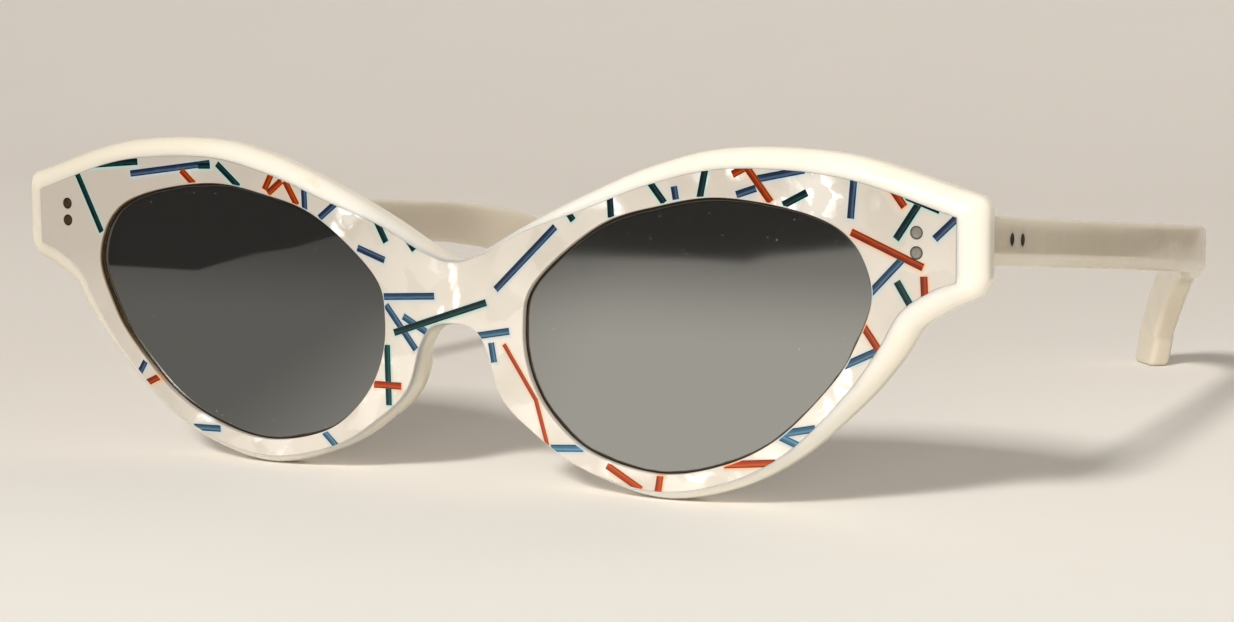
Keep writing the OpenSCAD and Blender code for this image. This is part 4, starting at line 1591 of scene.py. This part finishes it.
@dataclass
class Temple:
    """One temple with its rivets: a rounded section swept along the line from the hinge to the tip."""

    shop: Workshop
    side: Side
    outline: FrontOutline
    reach: float = 135.0
    bend: float = 104.0
    root_h: float = 5.9
    bend_h: float = 7.2
    tip_h: float = 6.6
    wide: float = 3.8
    inset: float = 0.6
    pitch: float = 5.2
    bend_in: float = 3.4
    tip_in: float = 13.2
    chamfer_h: float = 1.4
    chamfer_d: float = 0.9
    blunt: float = 0.9
    foot_up: float = 3.6
    foot_rows: int = 6
    steps: int = 12
    front_t: float = 4.0
    root_gap: float = 0.06
    pin: tuple[float, float] = (64.7, 5.4)
    leaf: tuple[float, float, float] = (0.9, 12.6, 4.6)
    leaf_play: float = 0.02
    rivet_in: float = 5.8
    rivet_gap: float = 3.6
    rivet_up: float = 0.3
    rivet_r: float = 0.74
    sink_play: float = 0.09
    sharp: float = 40.0

    @property
    def node(self) -> str:
        """The name of the temple's body and of its CAD node."""
        return f"temple_{self.side.word}"

    @property
    def inner(self) -> float:
        """Where the temple's inner face is, in x."""
        return self.outline.width / 2 - self.inset - self.wide

    def stations(self, tip: np.ndarray) -> np.ndarray:
        """The middle line from root to tip.

        Args:
            tip: how far back and how far down it ends.

        Returns:
            Rows of x, y, z and the temple's height.
        """
        fall = math.tan(math.radians(self.pitch))
        x, y0 = self.inner + self.wide / 2, self.pin[1]
        bend = np.array([x - self.bend_in, self.bend, -fall * (self.bend - y0)])
        run, drop = tip - bend[1:]
        root, ear = self.root_h, self.bend_h
        straight = y0 + self.leaf[1] + 1

        def before(into: float, y: float, height: float) -> list[float]:
            """A row before the bend, by its share of the way in."""
            return [x - into * self.bend_in, y, -fall * (y - y0), height]

        def after(into: float, back: float, down: float, height: float) -> list[float]:
            """A row past the bend, by its shares of the way in, back and down."""
            return [bend[0] - into * self.tip_in, bend[1] + back * run, bend[2] + down * drop, height]

        return np.array(
            [
                before(0, self.front_t - 1, root),
                before(0, straight, root),
                before(0, straight + 8, root + 0.1),
                before(0.22, 0.56 * self.bend, (2 * root + ear) / 3),
                before(0.62, 0.83 * self.bend, (root + 2 * ear) / 3),
                [*bend[:2], bend[2] - 0.2, ear],
                after(0.34, 0.42, 0.16, ear + 0.5),
                after(0.69, 0.77, 0.48, ear + 0.5),
                after(0.92, 0.95, 0.8, self.tip_h + 0.2),
                after(1, 1, 1, self.tip_h),
            ]
        )

    def section(self) -> np.ndarray:
        """The section at the root's height, clockwise, with a chamfer at its lower outer edge.

        Returns:
            Points across the temple and upright, in millimetres.
        """
        w, h = self.wide / 2, self.root_h / 2
        corners = np.array([[-w, h], [w, h], [w, self.chamfer_h - h], [w - self.chamfer_d, -h], [-w, -h]])
        return rounded(corners, np.array([1.0, 0.75, 0.5, 0.45, 1.0]), 6)

    def rings(self, tip: np.ndarray) -> np.ndarray:
        """Sections along the middle line, then a foot cut off level with the floor, its edge rounded.

        Args:
            tip: how far back and how far down the middle line ends.

        Returns:
            Rings of points: place, plus across times the section's first value, plus upright times its
            second, which moves up or down by half of what the temple is taller there.
        """
        line = spline(self.stations(tip), self.steps)
        heading = unit(np.gradient(line[:, :3], axis=0))
        upright = unit(np.array([0, 0, 1]) - heading * heading[:, 2:3])
        across = np.cross(heading, upright)
        shape = self.section()
        tall = shape[None, :, 1:] + np.sign(shape[None, :, 1:]) * (line[:, None, 3:] - self.root_h) / 2
        arm = line[:, None, :3] + across[:, None] * shape[None, :, :1] + upright[:, None] * tall
        down = heading[-self.foot_rows :].mean(axis=0)
        top = self.height(arm[-1])
        foot = arm[-1] + down * (top / (top - self.height(arm[-1] + down)))[:, None]
        middle = foot.mean(axis=0)
        turn = np.linspace(0, math.pi / 2, 8)[:, None, None]
        end = foot + self.blunt * (unit(middle - foot) * (1 - np.cos(turn)) - down * (1 - np.sin(turn)))
        rings = np.concatenate([arm[: -self.foot_rows], end, np.repeat(middle[None], len(shape), 0)[None]])
        rings[..., 1] = np.maximum(rings[..., 1], self.front_t + self.root_gap)
        return rings

    def height(self, points: np.ndarray) -> np.ndarray:
        """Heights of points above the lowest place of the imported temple, in millimetres."""
        return (self.shop.stance.placed(points)[..., 2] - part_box("temple_left")[0][2]) / MM

    def settled(self) -> np.ndarray:
        """Moves the middle line's end to its height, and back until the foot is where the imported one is.

        Returns:
            The temple's rings.
        """
        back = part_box("temple_left")[1][1] / MM
        first_drop, tries = -30.0, 6
        tip = np.array([self.reach, first_drop])
        for _ in range(tries):
            placed = self.shop.stance.placed(self.rings(tip)) / MM
            tip += [back - placed[..., 1].max(), self.foot_up - self.height(np.array([0, *tip]))]
        return self.rings(tip)

    def pitched(self, points: Sequence[Sequence[float]]) -> np.ndarray:
        """Points that fall with the temple's slope about the hinge pin."""
        return leant(points, math.radians(self.pitch)) + [0, self.pin[1], 0]

    def rivet_spots(self) -> list[np.ndarray]:
        """Where the rivets cross the inner face."""
        rows = (self.rivet_in, self.rivet_in + self.rivet_gap)
        return [self.pitched([self.inner, y, self.rivet_up]) for y in rows]

    def build_arm(self) -> None:
        """The arm itself, with a seat for the hinge leaf and two countersinks for the rivet heads."""
        rings = self.settled()
        middle = np.repeat(rings[0].mean(axis=0)[None], rings.shape[1], 0)
        whole = skin([middle, *rings]).on(self.side)
        arm = self.shop.mesh(f"temple_arm_{self.side.word}", [whole], sharp=self.sharp)
        play, (leaf_t, leaf_l, leaf_h) = self.leaf_play, self.leaf
        z = leaf_h / 2 + play
        corners = product((self.inner - 1, self.inner + leaf_t + play), (-3, leaf_l + play), (-z, z))
        sides = np.array([[0, 1, 3, 2], [4, 6, 7, 5], [0, 4, 5, 1], [2, 3, 7, 6], [0, 2, 6, 4], [1, 5, 7, 3]])
        seat = Surface(self.pitched(list(corners)), [sides], np.zeros((8, 2)))
        r = self.rivet_r + self.sink_play
        sink = np.array([[0, -0.65], [r, -0.65], [r, 1], [0, 1]])
        sinks = [turned(sink, spot + [self.wide, 0, 0], [1, 0, 0]) for spot in self.rivet_spots()]
        tools = [self.shop.mesh(f"cutter_{k}", [tool.on(self.side)]) for k, tool in enumerate([seat, *sinks])]
        self.shop.cut(arm, tools, sharp=self.sharp)
        self.shop.finish(arm, TEMPLE, self.node, self.node)

    def build_rivets(self) -> None:
        """Two rivets through the arm: flush dark heads outside and domed closed ends on the leaf."""
        r = self.rivet_r
        head = np.array([[0, 0.02], [0.5 * r, 0.01], [0.85 * r, -0.02], [r, -0.06], [r, -0.6], [0, -0.6]])
        head[:, 1] += self.wide
        end = np.array([[0, -0.28], [0.4 * r, -0.27], [0.8 * r, -0.18], [r, -0.05], [r, 0.2], [0, 0.2]])
        spots = self.rivet_spots()
        surfaces = [turned(form, spot, [1, 0, 0]).on(self.side) for spot in spots for form in (head, end)]
        piece = self.shop.mesh(f"temple_rivet_heads_{self.side.word}", surfaces)
        self.shop.finish(piece, DARK_RIVET, self.node, f"temple_rivets_{self.side.word}")


# The stage


@dataclass(frozen=True)
class Studio:
    """Pale floor with a curved backdrop, a soft lamp and a faint one, what reflections see, and the camera.

    The camera's place is in the front's millimetres, and all other places and sizes are in metres of the
    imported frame. Angles are in degrees, and the camera's lens and sensor are in millimetres.
    """

    stance: Stance
    floor: Finish = FloorPaint("floor paint", "", near=(0.98, 0.955, 0.9), far=(0.865, 0.815, 0.765))
    camera_at: tuple[float, float, float] = (168.2, -260.7, 24.2)
    azimuth: float = 29.05
    elevation: float = 7.26
    roll: float = -0.9
    focal: float = 72.25
    sensor: float = 36.0
    lamp_at: tuple[float, float, float] = (-0.15, -2.4, 1.95)
    lamp_size: float = 0.55
    lamp_power: float = 68.0
    lamp_colour: Colour = (1.0, 0.975, 0.93)
    lamp_aim: tuple[float, float, float] = (0.0, -0.02, 0.0)
    card_at: tuple[float, float, float] = (0.2, -0.7, 0.06)
    card_size: float = 0.3
    card_power: float = 2.0
    fill: float = 0.235
    fill_colour: Colour = (1.0, 0.965, 0.92)
    backdrop: Colour = (0.7, 0.66, 0.6)
    lift: float = 0.0004

    def build_floor(self) -> None:
        """Floor and backdrop: a profile that runs flat, turns up through an arc and rises, drawn along x."""
        turn = np.linspace(0, math.pi / 2, 24)
        front, back, radius, top, half = -3.0, 0.35, 0.9, 2.6, 4.0
        y = np.concatenate([[front, -1.0, 0.0], back + radius * np.sin(turn), [back + radius]])
        z = np.concatenate([[0.0, 0.0, 0.0], radius * (1 - np.cos(turn)), [top]])
        x = np.array([-half, half])
        points = np.stack([*np.broadcast_arrays(x[None, :], y[:, None], z[:, None])], axis=-1)
        faces = np.arange(len(y) - 1)[:, None] * 2 + np.array([[0, 1, 3, 2]])
        self.staged("floor", points.reshape(-1, 3), faces, self.floor)

    def level(self, x0: float, x1: float, y0: float, y1: float) -> np.ndarray:
        """The corners of a rectangle that lies a hair above the floor."""
        return np.array([[x, y, self.lift] for x, y in ((x0, y0), (x1, y0), (x1, y1), (x0, y1))])

    def build_mirrored(self) -> None:
        """What only reflections see: the table before the glasses, the dark room past it, and a painted
        shadow beside the left temple, which that temple mirrors.

        The skyline's rows are x and the height at which the table top ends and the room begins.
        """
        skyline = np.array(
            [
                [-2.0, 0.0], [-0.256, 0.0003], [-0.228, 0.0003], [-0.222, 0.002], [-0.209, 0.0055],
                [-0.197, 0.0075], [-0.185, 0.0108], [-0.16, 0.0125], [-0.125, 0.0095], [-0.12, 0.0085],
                [-0.0885, 0.009], [-0.073, 0.0087], [-0.0685, 0.0102], [-0.054, 0.012], [-0.0445, 0.0133],
                [-0.03, 0.016], [0.0, 0.02], [2.0, 0.05], [2.0, 0.35], [-2.0, 0.35],
            ]
        )
        table = self.level(-1.5, 0.8, -0.8, -0.078)
        beside = self.level(0.112, 0.5, 0.02, 0.6)
        room = at_depth(skyline, -0.3)
        brown = (0.1, 0.075, 0.05)
        for name, points, look, near, far in (
            ("table_reflection", table, "table glow", (0.95, 0.92, 0.85), (0.27, 0.265, 0.25)),
            ("room_reflection", room, "dark room", (0.035, 0.034, 0.031), (0.03, 0.03, 0.028)),
            # Painted shadow: a dark card that the left temple mirrors in place of its own shadow on the
            # floor.
            ("corner_reflection", beside, "dark corner", brown, brown),
        ):
            card = self.staged(name, points, np.arange(len(points))[None], MirroredGlow(look, "", near, far))
            card.visible_camera = card.visible_diffuse = card.visible_shadow = False
            card.visible_transmission = card.visible_volume_scatter = False

    def staged(self, name: str, points: np.ndarray, faces: np.ndarray, look: Finish) -> bpy.types.Object:
        """Makes a piece of the stage.

        Args:
            name: its name.
            points: its points in metres.
            faces: its faces, all with as many corners.
            look: its finish.

        Returns:
            The object.
        """
        mesh = bpy.data.meshes.new(name)
        mesh.from_pydata(points.tolist(), [], faces.tolist())
        mesh.shade_smooth()
        mesh.materials.append(look.material())
        piece = bpy.data.objects.new(name, mesh)
        bpy.context.scene.collection.objects.link(piece)
        return piece

    def lamp(self, name: str, at: Sequence[float], size: float, power: float, glossy: bool) -> None:
        """Adds a square lamp that looks at the front.

        Args:
            name: its name.
            at: its place in metres.
            size: the length of its sides in metres.
            power: its power in watts.
            glossy: whether reflections see it.
        """
        lamp = bpy.data.lights.new(name, "AREA")
        lamp.energy = power
        lamp.size = size
        lamp.color = self.lamp_colour
        light = bpy.data.objects.new(name, lamp)
        light.visible_glossy = glossy
        bpy.context.scene.collection.objects.link(light)
        turn = (Vector(at) - Vector(self.lamp_aim)).to_track_quat("Z", "Y").to_matrix().to_4x4()
        light.matrix_world = Matrix.Translation(at) @ turn

    def build_lights(self) -> None:
        """A soft lamp high before the glasses, a faint low one, and an even world that looks pale itself."""
        self.lamp("key", self.lamp_at, self.lamp_size, self.lamp_power, True)
        self.lamp("card", self.card_at, self.card_size, self.card_power, False)
        world = bpy.data.worlds.new("plain room")
        bpy.context.scene.world = world
        tree = Tree(world)
        camera, glossy, through = (
            tree.node("LightPath", output=f"Is {kind} Ray") for kind in ("Camera", "Glossy", "Transmission")
        )
        fill = tree.node("Background", Color=self.fill_colour, Strength=self.fill)
        pale = tree.node("Background", Color=self.backdrop, Strength=1.0)
        seen = camera.math("MAXIMUM", glossy).math("MAXIMUM", through)
        tree.node("OutputWorld", Surface=tree.node("MixShader", i0=seen, i1=fill, i2=pale))

    def build_camera(self) -> None:
        """The camera, at the photograph's place and lens, turned by azimuth, elevation and roll."""
        data = bpy.data.cameras.new("camera")
        data.lens = self.focal
        data.sensor_width = self.sensor
        data.clip_start = 0.01
        camera = bpy.data.objects.new("camera", data)
        bpy.context.scene.collection.objects.link(camera)
        turn = Matrix.Translation(self.stance.placed(np.array(self.camera_at)))
        for degrees, axis in ((self.azimuth, "Z"), (90 - self.elevation, "X"), (self.roll, "Z")):
            turn = turn @ Matrix.Rotation(math.radians(degrees), 4, axis)
        camera.matrix_world = turn
        bpy.context.scene.camera = camera


def main() -> None:
    """Builds the sunglasses and the stage."""
    logging.basicConfig(level=logging.INFO, format="%(message)s")
    bpy.context.scene.view_settings.view_transform = "Standard"
    opening = LensOpening()
    outline = FrontOutline(opening)
    hinge = next(joint for joint in frame["joints"] if joint["name"] == "temple_left_fold")
    stance = Stance.on_pin(hinge, np.array([*Temple.pin, 0.0]))
    shop = Workshop(stance)
    studio = Studio(stance)
    studio.build_camera()
    front = Front(shop, outline, opening)
    front.build_base()
    front.build_panel()
    for layer, inlay in enumerate(reversed(INLAYS)):
        front.build_sticks(inlay, layer)
    for side in Side:
        front.build_lens(side)
        front.build_rivets(side)
        front.build_pad(side)
        temple = Temple(shop, side, outline)
        temple.build_arm()
        temple.build_rivets()
        shop.dress(f"hinge_front_leaf_{side.word}", HINGE_METAL)
        shop.dress(f"hinge_temple_leaf_{side.word}", HINGE_METAL)
        shop.dress(f"hinge_screw_{side.word}", SCREW_METAL)
    studio.build_floor()
    studio.build_mirrored()
    studio.build_lights()


if __name__ == "__main__":
    main()
